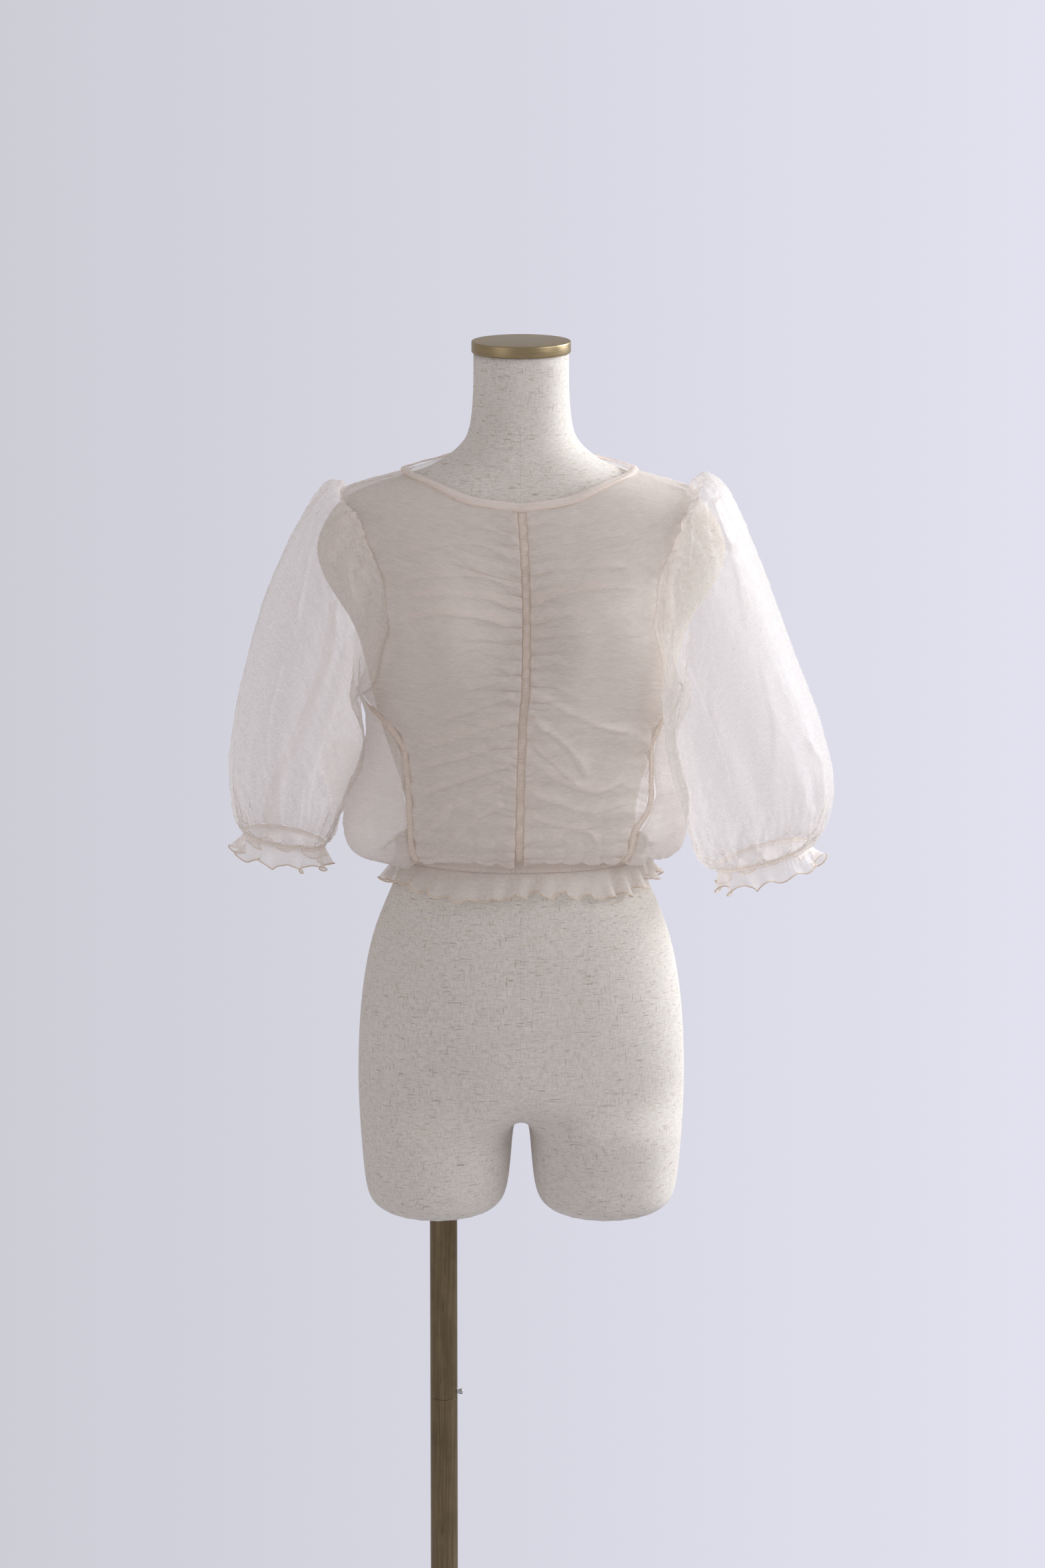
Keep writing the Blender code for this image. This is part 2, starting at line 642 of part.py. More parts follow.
def centre_share(part, top):
    """Share at the centre line for a row, level with the same row at the side."""
    if part <= UNDERARM_PART:
        return UNDERARM_SHARE * part / UNDERARM_PART
    return UNDERARM_SHARE + (top - UNDERARM_SHARE) * (part - UNDERARM_PART) / (1 - UNDERARM_PART)


def inset(side, angle, share, kind, toward):
    """Edge angle pulled back from the seam; toward is +1 when the panel lies at larger angles."""
    if kind == "strip":
        return strip_line(side, share, toward * (SIDE_STRIP_WIDTH / 2 + 2 * SEAM_GAP))
    return angle + toward * angle_step(side, angle, share, SEAM_GAP)


def cloth_wall(name, grid, material, outward, around=False, wall=CLOTH_WALL):
    """Closed wall of cloth between a grid of outer points and one moved in by its thickness."""
    rows = len(grid)
    columns = len(grid[0])
    points = [point for row in grid for point in row]

    def index(i, j):
        return i * columns + (j % columns if around else j)

    def normal(i, j):
        up = grid[min(i + 1, rows - 1)][j] - grid[max(i - 1, 0)][j]
        if around:
            across = grid[i][(j + 1) % columns] - grid[i][(j - 1) % columns]
        else:
            across = grid[i][min(j + 1, columns - 1)] - grid[i][max(j - 1, 0)]
        return (across.cross(up) * outward).normalized()

    inner = [grid[i][j] - normal(i, j) * wall for i in range(rows) for j in range(columns)]
    count = len(points)
    faces = []
    spans = columns if around else columns - 1
    for i in range(rows - 1):
        for j in range(spans):
            a, b = index(i, j), index(i, j + 1)
            c, d = index(i + 1, j + 1), index(i + 1, j)
            faces.append((a, b, c, d))
            faces.append((count + d, count + c, count + b, count + a))
    for j in range(spans):
        a, b = index(0, j), index(0, j + 1)
        faces.append((b, a, count + a, count + b))
        c, d = index(rows - 1, j), index(rows - 1, j + 1)
        faces.append((c, d, count + d, count + c))
    if not around:
        for i in range(rows - 1):
            a, d = index(i, 0), index(i + 1, 0)
            faces.append((a, d, count + d, count + a))
            b, c = index(i, columns - 1), index(i + 1, columns - 1)
            faces.append((c, b, count + b, count + c))
    if outward < 0:
        faces = [tuple(reversed(face)) for face in faces]
    return new_object(name, points + inner, faces, material)


def front_panel(side, name):
    edge = panel_edge(side, list(reversed(FRONT_ARMHOLE_ROWS)), ROW_PARTS)
    centre_top = neckline_share(side, 3, 0.0)
    strip_edge = CENTRE_STRIP_WIDTH / 2 + SEAM_GAP
    grid = []
    for i, (edge_angle, edge_share, kind) in enumerate(edge):
        part = ROW_PARTS[i]
        first_share = centre_share(part, centre_top)
        first_angle = centre_angle(side, first_share, strip_edge)
        last_angle = inset(side, edge_angle, edge_share, kind, -1)
        row = []
        for u in FRONT_COLUMNS:
            angle = first_angle + (last_angle - first_angle) * u
            share = first_share + (edge_share - first_share) * u
            if i == FRONT_ROWS - 1:
                share = neckline_share(side, angle, 0.0)
            base = body_point(side, angle, share)
            offset = front_relief(side, base, angle, share, part, first_angle, last_angle)
            point = base + body_normal(side, angle, share) * offset
            row.append(clear_of_form(point, FORM_CLEARANCE))
        grid.append(row)
    return cloth_wall(name, grid, "organza", side)


def front_relief(side, base, angle, share, part, first_angle, last_angle):
    """Gathers and folds of the front, as a height over the smooth body."""
    reach = body_half_width[side](share)
    from_centre = math.radians(angle - first_angle) * reach
    from_edge = math.radians(last_angle - angle) * reach
    ends = smoothstep(0.0, 0.03, part) * smoothstep(0.03, 0.08, 1 - part)
    turns = CENTRE_GATHERS * part + 0.35 * side
    relief = gather_wave(turns, CENTRE_GATHER_HEIGHT) * bump(from_centre, CENTRE_GATHER_FADE)
    x = base.x - FORM_X
    relief += fold_height(side, x, base.z)
    if part < UNDERARM_PART:
        turns = SIDE_GATHERS * part / UNDERARM_PART
        low = smoothstep(0.02, 0.10, part) * smoothstep(0.0, 0.08, UNDERARM_PART - part)
        relief += gather_wave(turns, SIDE_GATHER_HEIGHT) * bump(from_edge, SIDE_GATHER_FADE) * low
    span = ARMHOLE_GATHER_HIGH - ARMHOLE_GATHER_LOW
    turns = ARMHOLE_GATHERS * (base.z - ARMHOLE_GATHER_LOW) / span
    inside = smoothstep(ARMHOLE_GATHER_LOW - 0.01, ARMHOLE_GATHER_LOW + 0.01, base.z)
    inside *= 1 - smoothstep(ARMHOLE_GATHER_HIGH - 0.01, ARMHOLE_GATHER_HIGH + 0.01, base.z)
    relief += gather_wave(turns, ARMHOLE_GATHER_HEIGHT) * bump(from_edge, ARMHOLE_GATHER_FADE) * inside
    return relief * ends


def back_parts():
    """The shared rows up to the underarm, then every second row of the fronts."""
    return [ROW_PARTS[i] for i in strip_rows() + list(range(UNDERARM_ROW + 2, FRONT_ROWS, 2))]


def back_panel():
    """One panel from side strip to side strip, round the back."""
    parts = back_parts()
    edges = {side: panel_edge(side, BACK_ARMHOLE_ROWS, parts) for side in (-1, 1)}
    centre_top = neckline_share(1, 180, 0.0)
    half = BACK_COLUMNS // 2
    grid = []
    for i, part in enumerate(parts):
        middle_share = centre_share(part, centre_top)
        row = []
        for side in (1, -1):
            edge_angle, edge_share, kind = edges[side][i]
            first = inset(side, edge_angle, edge_share, kind, 1)
            steps = range(half) if side == 1 else range(half, -1, -1)
            for k in steps:
                u = k / half
                angle = first + (180 - first) * u
                share = edge_share + (middle_share - edge_share) * smoothstep(0, 1, u)
                if part == 1.0:
                    share = neckline_share(side, min(angle, 180), 0.0)
                offset = back_relief(side, angle, first, share, part)
                point = body_point(side, angle, share) + body_normal(side, angle, share) * offset
                row.append(clear_of_form(point, FORM_CLEARANCE))
        grid.append(row)
    return cloth_wall("back", grid, "organza", 1)


def back_relief(side, angle, first, share, part):
    """Side gathers and the soft waves of the blouse, as a height over the smooth back."""
    reach = body_half_width[side](share)
    from_edge = math.radians(angle - first) * reach
    ends = smoothstep(0.0, 0.05, part) * smoothstep(0.0, 0.05, 1 - part)
    relief = 0.0
    if part < UNDERARM_PART:
        turns = SIDE_GATHERS / 2 * part / UNDERARM_PART
        relief += gather_wave(turns, SIDE_GATHER_HEIGHT) * bump(from_edge, 2 * SIDE_GATHER_FADE)
    low = smoothstep(BACK_WAVE_TOP, BACK_WAVE_FULL, part)
    relief += BACK_WAVE_HEIGHT * math.sin(math.radians(angle * BACK_WAVES)) * low
    return relief * ends


def centre_strip():
    """The narrow tape that draws both fronts together."""
    top = neckline_share(1, 3, 0.0)
    grid = []
    for part in ROW_PARTS:
        share = centre_share(part, top)
        row = []
        for across in (-0.5, 0.5):
            x = centre_strip_x(share) + across * CENTRE_STRIP_WIDTH
            side = 1 if x >= 0 else -1
            angle = math.degrees(math.asin(abs(x) / body_half_width[side](share)))
            row.append(clear_of_form(body_point(side, angle, share), FORM_CLEARANCE))
        grid.append(row)
    return cloth_wall("centre_strip", grid, "elastic_strip", 1)


def side_strip(side, name):
    grid = []
    for i in range(UNDERARM_ROW):
        share = UNDERARM_SHARE * i / UNDERARM_ROW
        angles = [strip_line(side, share, turn * SIDE_STRIP_WIDTH / 2) for turn in (-1, 1)]
        grid.append([body_point(side, angle, share) for angle in angles])
    return cloth_wall(name, grid, "elastic_strip", side)


def neck_binding():
    """Narrow binding round the neckline, bunched at the shoulder points."""
    grid = [[], []]
    for k in range(BINDING_STEPS):
        turn = 360 * k / BINDING_STEPS
        side = 1 if turn <= 180 else -1
        angle = turn if turn <= 180 else 360 - turn
        knot = KNOT_HEIGHT * bump(angle - 90, KNOT_SPREAD)
        for row, down in zip(grid, (BINDING_WIDTH, -BINDING_PROUD)):
            share = neckline_share(side, angle, down)
            proud = BINDING_PROUD + knot
            point = body_point(side, angle, share) + body_normal(side, angle, share) * proud
            row.append(clear_of_form(point, FORM_CLEARANCE))
    return cloth_wall("neck_binding", grid, "organza", 1, around=True)


def armhole_ring(side):
    """The sleeve's first ring, just inside the armhole: over the front, and up behind."""
    parts = [k / SLEEVE_HALF for k in range(SLEEVE_HALF)]
    knots = spread_along(FRONT_ARMHOLE_ROWS, side, parts) + spread_along(BACK_ARMHOLE_ROWS, side, parts)
    edge = [body_point(side, angle, share) for angle, share in knots]
    centre = sum(edge, Vector()) / len(edge)
    ring = []
    normals = []
    for k, (angle, share) in enumerate(knots):
        along = edge[(k + 1) % SLEEVE_AROUND] - edge[k - 1]
        normals.append(body_normal(side, angle, share))
        inward = normals[-1].cross(along).normalized()
        if inward.dot(centre - edge[k]) < 0:
            inward = -inward
        tip = smoothstep(1.300, 1.332, edge[k].z)
        ring.append(edge[k] + inward * (ARMHOLE_GAP + (SHOULDER_TIP_GAP - ARMHOLE_GAP) * tip))
    return ring, normals


def sleeve_ring(side, row):
    """One ring of a sleeve, from its outermost point over the front to its innermost one."""
    outer = Vector((FORM_X + side * row.outer_x, 0, row.outer_z))
    inner = Vector((FORM_X + side * row.inner_x, 0, row.inner_z))
    middle = (outer + inner) / 2
    half = (outer - inner) / 2
    power = 2 / SLEEVE_SQUARENESS
    ring = []
    for k in range(SLEEVE_AROUND):
        turn = 2 * math.pi * k / SLEEVE_AROUND
        c = math.copysign(abs(math.cos(turn)) ** power, math.cos(turn))
        s = math.copysign(abs(math.sin(turn)) ** power, math.sin(turn))
        depth = row.front if s > 0 else row.back
        lean = row.lean * s * s if s > 0 else 0.0
        ring.append(middle + half * c + Vector((-side * lean, -depth * s, 0)))
    return ring


def clear_of_body(side, point, clearance):
    """The point, moved outwards where a sleeve would sink into the top's body."""
    if point.z < WAIST_TOP:
        return point
    share = share_at(max(point.z, 1.016))
    x = point.x - FORM_X
    half_width = body_half_width[side](share) + clearance
    depth = (body_front(share) if point.y < 0 else body_back(share)) + clearance
    ratio = math.hypot(x / half_width, point.y / depth)
    if ratio >= 1.0:
        return point
    return Vector((FORM_X + x / ratio, point.y / ratio, point.z))


def sleeve(side, name):
    armhole, normals = armhole_ring(side)
    rings = [armhole] + [sleeve_ring(side, row) for row in SLEEVE_ROWS[side]]
    for i, (blend, puff) in enumerate(zip(HEAD_BLENDS, HEAD_PUFFS)):
        rings[i] = [a.lerp(b, blend) + n * puff for a, b, n in zip(armhole, rings[i], normals)]
    grid = []
    for i, ring in enumerate(rings):
        centre = sum(ring, Vector()) / len(ring)
        out = []
        for k, point in enumerate(ring):
            before = ring[k - 1]
            after = ring[(k + 1) % SLEEVE_AROUND]
            along = (rings[min(i + 1, len(rings) - 1)][k] - rings[max(i - 1, 0)][k])
            normal = (after - before).cross(along).normalized()
            if normal.dot(point - centre) < 0:
                normal = -normal
            part = k / SLEEVE_AROUND
            upper = 0.5 + 0.5 * math.cos(2 * math.pi * part)
            relief = HEAD_GATHER_SHARES[i] * gather_wave(HEAD_GATHERS * part, HEAD_GATHER_HEIGHT)
            relief *= smoothstep(0.05, 0.45, upper)
            relief += CUFF_GATHER_SHARES[i] * gather_wave(CUFF_GATHERS * part, CUFF_GATHER_HEIGHT)
            moved = point + normal * relief if i else point
            moved = clear_of_form(moved, FORM_CLEARANCE) if i < 6 else moved
            out.append(clear_of_body(side, moved, SLEEVE_CLEARANCE) if i else moved)
        grid.append(out)
    return cloth_wall(name, grid, "organza", side, around=True)


def ring_frame(ring):
    """Centre, outward directions and down direction of a cuff ring."""
    centre = sum(ring, Vector()) / len(ring)
    quarter = len(ring) // 4
    down = (ring[quarter] - centre).cross(ring[0] - centre).normalized()
    if down.z > 0:
        down = -down
    return centre, down


def cuff_curve(side, count, drop, flare, wave):
    """Points below the cuff's last sleeve ring, at a drop along the sleeve and a flare outwards."""
    row = SLEEVE_ROWS[side][-1]
    base = sleeve_ring(side, row)
    centre, down = ring_frame(base)
    outer = Vector((side * (row.outer_x - row.inner_x) / 2, 0, (row.outer_z - row.inner_z) / 2))
    points = []
    for k in range(count):
        turn = 2 * math.pi * k / count
        depth = row.front if math.sin(turn) > 0 else row.back
        spoke = outer * math.cos(turn) + Vector((0, -depth * math.sin(turn), 0))
        point = centre + spoke + spoke.normalized() * (flare + wave(turn)) + down * drop
        points.append(point)
    return points


def cuff_band(side, name):
    grid = []
    for drop in (CUFF_GAP, CUFF_GAP + CUFF_BAND_WIDTH):
        grid.append(cuff_curve(side, CUFF_BAND_STEPS, drop, 0.0, lambda turn: 0.0))
    return cloth_wall(name, grid, "elastic_strip", side, around=True)


def cuff_ruffle(side, name):
    waves = CUFF_WAVES[side]
    count = waves * CUFF_POINTS_A_WAVE
    start = CUFF_GAP + CUFF_BAND_WIDTH + SEAM_GAP
    grid = []
    for part in RUFFLE_PARTS:
        reach = CUFF_WAVE_REACH[side] * part ** RUFFLE_SWING

        def wave(turn, reach=reach):
            return gather_wave(waves * turn / (2 * math.pi), reach)

        grid.append(
            cuff_curve(side, count, start + CUFF_RUFFLE_DROP * part, CUFF_RUFFLE_FLARE * part, wave)
        )
    return cloth_wall(name, grid, "organza_edge", side, around=True)


def waist_point(turn, height, outward):
    depth = WAIST_FRONT if math.cos(turn) > 0 else WAIST_BACK
    x = (WAIST_HALF_WIDTH + outward) * math.sin(turn)
    y = -(depth + outward) * math.cos(turn)
    return clear_of_form(Vector((FORM_X + x, y, height)), FORM_CLEARANCE)


def waist_elastic():
    grid = []
    for height in (WAIST_BOTTOM, WAIST_TOP):
        grid.append([waist_point(2 * math.pi * k / WAIST_STEPS, height, 0.0) for k in range(WAIST_STEPS)])
    return cloth_wall("waist_elastic", grid, "elastic_strip", 1, around=True)


def hem_ruffle():
    count = HEM_WAVES * HEM_POINTS_A_WAVE
    grid = []
    for part in reversed(RUFFLE_PARTS):
        height = WAIST_BOTTOM - SEAM_GAP - HEM_DROP * part
        row = []
        for k in range(count):
            turn = 2 * math.pi * k / count
            wave = gather_wave(HEM_WAVES * k / count, HEM_WAVE_REACH) * part ** RUFFLE_SWING
            dip = HEM_DIP * math.sin(HEM_DIPS * turn + HEM_DIP_SHIFT) * part
            row.append(waist_point(turn, height + dip, HEM_FLARE * part + wave))
        grid.append(row)
    return cloth_wall("hem_ruffle", grid, "organza_edge", 1, around=True)


def form_body():
    """Torso rings down to the crotch, then a ring for each thigh with a shared inseam."""
    half = FORM_AROUND // 2
    points = []
    faces = []
    rings = []
    for row in FORM_ROWS:
        ring = []
        for k in range(FORM_AROUND):
            angle = 360 * k / FORM_AROUND
            ring.append(len(points))
            points.append(form_point(angle, row.height))
        rings.append(ring)
    faces.append(tuple(reversed(rings[0])))
    for upper, lower in zip(rings, rings[1:]):
        for k in range(FORM_AROUND):
            n = (k + 1) % FORM_AROUND
            faces.append((upper[k], upper[n], lower[n], lower[k]))
    torso = rings[-1]
    front = points[torso[0]]
    back = points[torso[half]]
    inseam = []
    for j in range(1, INSEAM_POINTS + 1):
        t = j / (INSEAM_POINTS + 1)
        y = back.y + (front.y - back.y) * t
        dip = math.sin(math.pi * t) ** 0.55
        inseam.append(len(points))
        points.append(Vector((FORM_X, y * 0.98, TORSO_END - (TORSO_END - CROTCH_HEIGHT) * dip)))
    for side in (1, -1):
        outer = [torso[k if side == 1 else (FORM_AROUND - k) % FORM_AROUND] for k in range(half + 1)]
        upper = outer + inseam
        count = len(upper)
        for row in THIGH_ROWS:
            lower = []
            centre_x = (row.outer + row.inner) / 2
            half_x = (row.outer - row.inner) / 2
            for k in range(count):
                if k <= half:
                    turn = math.radians(INSEAM_ANGLE / 2 - 90 + (360 - INSEAM_ANGLE) * k / half)
                else:
                    turn = math.radians(270 - INSEAM_ANGLE / 2 + INSEAM_ANGLE * (k - half) / (count - half))
                depth = row.front if math.cos(turn) > 0 else row.back
                lower.append(len(points))
                points.append(Vector((
                    FORM_X + side * (centre_x + half_x * math.sin(turn)),
                    -depth * math.cos(turn),
                    row.height,
                )))
            for k in range(count):
                n = (k + 1) % count
                quad = (upper[k], upper[n], lower[n], lower[k])
                faces.append(quad if side == 1 else tuple(reversed(quad)))
            upper = lower
        faces.append(tuple(upper) if side == 1 else tuple(reversed(upper)))
    faces = [tuple(reversed(face)) for face in faces]
    return new_object("form", points, faces, "linen")


def turned(name, profile, material, x=0.0, segments=40):
    """Round piece about the pole's axis, or about one beside it, from radius and height pairs."""
    points = []
    faces = []
    for radius, height in profile:
        for k in range(segments):
            turn = 2 * math.pi * k / segments
            points.append(Vector((x + radius * math.cos(turn), radius * math.sin(turn), height)))
    for i in range(len(profile) - 1):
        for k in range(segments):
            n = (k + 1) % segments
            faces.append((i * segments + k, i * segments + n, (i + 1) * segments + n, (i + 1) * segments + k))
    faces.append(tuple(reversed(range(segments))))
    last = (len(profile) - 1) * segments
    faces.append(tuple(range(last, last + segments)))
    thing = new_object(name, points, faces, material)
    thing.data.set_sharp_from_angle(angle=math.radians(35))
    return thing


def stand():
    turned("base", [
        (BASE_RADIUS - BASE_EDGE, 0.0),
        (BASE_RADIUS, BASE_EDGE),
        (BASE_RADIUS, BASE_HEIGHT - 2 * BASE_EDGE),
        (BASE_RADIUS - 2 * BASE_EDGE, BASE_HEIGHT),
    ], "aged_brass", segments=40)
    turned("pole_lower", [
        (POLE_RADIUS, BASE_HEIGHT + SEAM_GAP),
        (POLE_RADIUS, POLE_JOINT_HEIGHT - SEAM_GAP / 2),
    ], "aged_brass", segments=24)
    turned("pole_upper", [
        (POLE_RADIUS, POLE_JOINT_HEIGHT + SEAM_GAP / 2),
        (POLE_RADIUS, THIGH_BOTTOM - SEAM_GAP),
    ], "aged_brass", segments=24)
    turned("neck_cap", [
        (CAP_RADIUS, NECK_TOP + SEAM_GAP),
        (CAP_RADIUS, NECK_TOP + CAP_HEIGHT - CAP_BEVEL),
        (CAP_RADIUS - CAP_BEVEL, NECK_TOP + CAP_HEIGHT),
    ], "brushed_brass", x=FORM_X, segments=36)


def set_screw():
    """Small screw in the pole's side, over the joint."""
    segments = 16
    start = POLE_RADIUS + SEAM_GAP
    stations = (
        (start, SCREW_RADIUS * 0.8),
        (start + SCREW_NECK, SCREW_RADIUS * 0.8),
        (start + SCREW_NECK, SCREW_RADIUS),
        (start + SCREW_REACH - SCREW_CHAMFER, SCREW_RADIUS),
        (start + SCREW_REACH, SCREW_RADIUS * 0.8),
    )
    points = []
    faces = []
    for x, radius in stations:
        for k in range(segments):
            turn = 2 * math.pi * k / segments
            points.append(Vector((x, radius * math.cos(turn), SCREW_HEIGHT + radius * math.sin(turn))))
    for i in range(len(stations) - 1):
        for k in range(segments):
            n = (k + 1) % segments
            faces.append((i * segments + k, i * segments + n, (i + 1) * segments + n, (i + 1) * segments + k))
    faces.append(tuple(reversed(range(segments))))
    last = (len(stations) - 1) * segments
    faces.append(tuple(range(last, last + segments)))
    return new_object("set_screw", points, faces, "steel", smooth=False)


def build():
    clear_scene()
    stand()
    set_screw()
    form_body()
    for side, word in ((1, "left"), (-1, "right")):
        front_panel(side, f"front_{word}")
        side_strip(side, f"side_strip_{word}")
        sleeve(side, f"sleeve_{word}")
        cuff_band(side, f"cuff_elastic_{word}")
        cuff_ruffle(side, f"cuff_ruffle_{word}")
    back_panel()
    centre_strip()
    neck_binding()
    waist_elastic()
    hem_ruffle()


build()
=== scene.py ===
# %% [markdown]
# # A sheer gathered top on its dress form
#
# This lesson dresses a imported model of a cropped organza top: two ruched fronts, balloon
# sleeves, elastic at waist and cuffs, ruffles below them, and the linen form that wears it.
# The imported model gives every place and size. Here each cloth wall becomes a thin, crinkled
# shell, and each material gets its weave, sheen and wear.

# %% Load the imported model
import json
import math

import bmesh
import bpy
import numpy as np
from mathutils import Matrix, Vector
from mathutils.bvhtree import BVHTree

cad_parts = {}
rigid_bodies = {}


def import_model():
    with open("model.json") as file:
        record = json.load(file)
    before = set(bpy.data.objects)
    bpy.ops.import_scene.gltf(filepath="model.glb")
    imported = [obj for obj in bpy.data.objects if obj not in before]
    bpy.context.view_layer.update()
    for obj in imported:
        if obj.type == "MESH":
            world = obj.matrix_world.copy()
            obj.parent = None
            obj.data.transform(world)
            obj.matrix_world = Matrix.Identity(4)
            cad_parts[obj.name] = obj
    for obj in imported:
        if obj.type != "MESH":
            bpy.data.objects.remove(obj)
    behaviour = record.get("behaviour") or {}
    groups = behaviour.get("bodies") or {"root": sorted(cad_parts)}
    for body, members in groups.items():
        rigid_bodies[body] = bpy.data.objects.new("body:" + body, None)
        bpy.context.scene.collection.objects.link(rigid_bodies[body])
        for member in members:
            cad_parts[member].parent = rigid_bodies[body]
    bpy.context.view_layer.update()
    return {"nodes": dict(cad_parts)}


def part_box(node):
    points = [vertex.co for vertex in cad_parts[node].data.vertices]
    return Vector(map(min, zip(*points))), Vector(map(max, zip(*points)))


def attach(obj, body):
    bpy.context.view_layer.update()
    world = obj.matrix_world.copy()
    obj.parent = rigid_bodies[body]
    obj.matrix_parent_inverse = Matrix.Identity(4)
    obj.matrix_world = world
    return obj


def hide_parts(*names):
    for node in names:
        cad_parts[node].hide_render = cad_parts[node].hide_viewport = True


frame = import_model()
BODY = "root"
cap_low, cap_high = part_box("neck_cap")
FORM_X = (cap_low.x + cap_high.x) / 2
print("nodes:", len(frame["nodes"]), "form at x", round(FORM_X, 4))

# %% [markdown]
# ## Camera
#
# The photograph looks slightly down from the front, from far enough away that the sides of
# the form hardly taper. A long lens at 6.5 m gives the same flat, calm perspective.

# %% Camera
CAMERA_PLACE = (0.0793, -6.367, 2.355)
CAMERA_TILT_DOWN = 11.6
CAMERA_LENS = 150.7

camera_data = bpy.data.cameras.new("camera")
camera_data.lens = CAMERA_LENS
camera_data.sensor_width = 36.0
camera = bpy.data.objects.new("camera", camera_data)
camera.location = CAMERA_PLACE
camera.rotation_euler = (math.radians(90 - CAMERA_TILT_DOWN), 0, 0)
bpy.context.scene.collection.objects.link(camera)
bpy.context.scene.camera = camera
print("camera at", CAMERA_PLACE)

# %% [markdown]
# ## Light and stage
#
# The photograph is lit by one large soft window on the right, a little behind the form. Its
# wall is a pale lavender grey that gets lighter towards the window. One broad area light
# stands for the window, and two weaker ones soften the front and the left. The sky shows the
# wall to the camera, with the window's light painted onto it as a gradient that is lighter to
# the right, and a weaker, nearly white light to the cloth, so that the folds keep their shade.

# %% Light and stage
# Painted light: the wall is darker at the left and lighter at the right, where the window's light falls.
WALL_LEFT = (0.600, 0.600, 0.662)
WALL_RIGHT = (0.772, 0.768, 0.880)
AMBIENT = 0.52
FLOOR_RADIUS = 0.62


def area_light(name, place, aim, size, power, colour):
    data = bpy.data.lights.new(name, "AREA")
    data.shape = "DISK"
    data.size = size
    data.energy = power
    data.color = colour
    lamp = bpy.data.objects.new(name, data)
    lamp.location = place
    direction = Vector(aim) - Vector(place)
    lamp.rotation_euler = direction.to_track_quat("-Z", "Y").to_euler()
    bpy.context.scene.collection.objects.link(lamp)
    return lamp


CHEST = (FORM_X, 0.0, 1.15)
area_light("window", (2.9, 1.35, 2.2), CHEST, 1.7, 135, (0.90, 0.95, 1.0))
area_light("window_front", (2.9, -1.3, 2.4), CHEST, 1.8, 36, (0.93, 0.96, 1.0))
area_light("bounce", (-2.6, -2.6, 1.9), CHEST, 2.6, 12, (1.0, 0.965, 0.96))


def build_world():
    world = bpy.data.worlds.new("studio")
    bpy.context.scene.world = world
    world.use_nodes = True
    nodes = world.node_tree.nodes
    links = world.node_tree.links
    nodes.clear()
    place = nodes.new("ShaderNodeTexCoord")
    split = nodes.new("ShaderNodeSeparateXYZ")
    links.new(place.outputs["Generated"], split.inputs[0])
    # Painted light: the camera sees the wall as a gradient across the frame, lighter towards the window.
    across = nodes.new("ShaderNodeMapRange")
    across.inputs["From Min"].default_value = -0.09
    across.inputs["From Max"].default_value = 0.09
    links.new(split.outputs["X"], across.inputs["Value"])
    wall = nodes.new("ShaderNodeMix")
    wall.data_type = "RGBA"
    wall.inputs["A"].default_value = (*WALL_LEFT, 1)
    wall.inputs["B"].default_value = (*WALL_RIGHT, 1)
    links.new(across.outputs[0], wall.inputs["Factor"])
    seen = nodes.new("ShaderNodeBackground")
    links.new(wall.outputs["Result"], seen.inputs["Color"])
    around = nodes.new("ShaderNodeBackground")
    around.inputs["Color"].default_value = (1.0, 0.968, 0.995, 1)
    around.inputs["Strength"].default_value = AMBIENT
    path = nodes.new("ShaderNodeLightPath")
    mix = nodes.new("ShaderNodeMixShader")
    links.new(path.outputs["Is Camera Ray"], mix.inputs[0])
    links.new(around.outputs[0], mix.inputs[1])
    links.new(seen.outputs[0], mix.inputs[2])
    out = nodes.new("ShaderNodeOutputWorld")
    links.new(mix.outputs[0], out.inputs["Surface"])


build_world()
bpy.context.scene.view_settings.view_transform = "Standard"


def build_floor():
    bm = bmesh.new()
    bmesh.ops.create_circle(bm, cap_ends=True, radius=FLOOR_RADIUS, segments=96)
    bmesh.ops.translate(bm, verts=bm.verts, vec=(0, 0, -0.0002))
    mesh = bpy.data.meshes.new("floor")
    bm.to_mesh(mesh)
    bm.free()
    floor = bpy.data.objects.new("floor", mesh)
    bpy.context.scene.collection.objects.link(floor)
    paint = bpy.data.materials.new("pale_floor")
    paint.use_nodes = True
    shader = paint.node_tree.nodes["Principled BSDF"]
    shader.inputs["Base Color"].default_value = (0.68, 0.68, 0.74, 1)
    shader.inputs["Roughness"].default_value = 0.8
    mesh.materials.append(paint)


build_floor()

# %% [markdown]
# ## Reading a cloth wall back as a grid
#
# A cloth node is a closed wall: an outer sheet, an inner sheet and a rim between them. The
# wall's thickness tells the rim's short edges apart, so they can be taken away, and the
# sheet whose faces look outwards is kept. It was modelled as rows and columns, and walking
# from each row to its neighbour finds them again. A grid can then be made finer with a
# smooth curve through its points, which is far neater than subdividing loose triangles.

# %% Walls to grids
CAD_WALL = 0.0012
WALL_TOLERANCE = 0.000012
MERGE_DISTANCE = 0.000004


def merged_copy(node):
    """The node's loose triangles as one joined mesh."""
    bm = bmesh.new()
    bm.from_mesh(frame["nodes"][node].data)
    bmesh.ops.remove_doubles(bm, verts=bm.verts, dist=MERGE_DISTANCE)
    return bm


def connected(bm):
    """The mesh's vertices, grouped by what hangs together."""
    left = set(bm.verts)
    groups = []
    while left:
        todo = [left.pop()]
        group = set(todo)
        while todo:
            for edge in todo.pop().link_edges:
                for vert in edge.verts:
                    if vert in left:
                        left.discard(vert)
                        group.add(vert)
                        todo.append(vert)
        groups.append(group)
    return groups


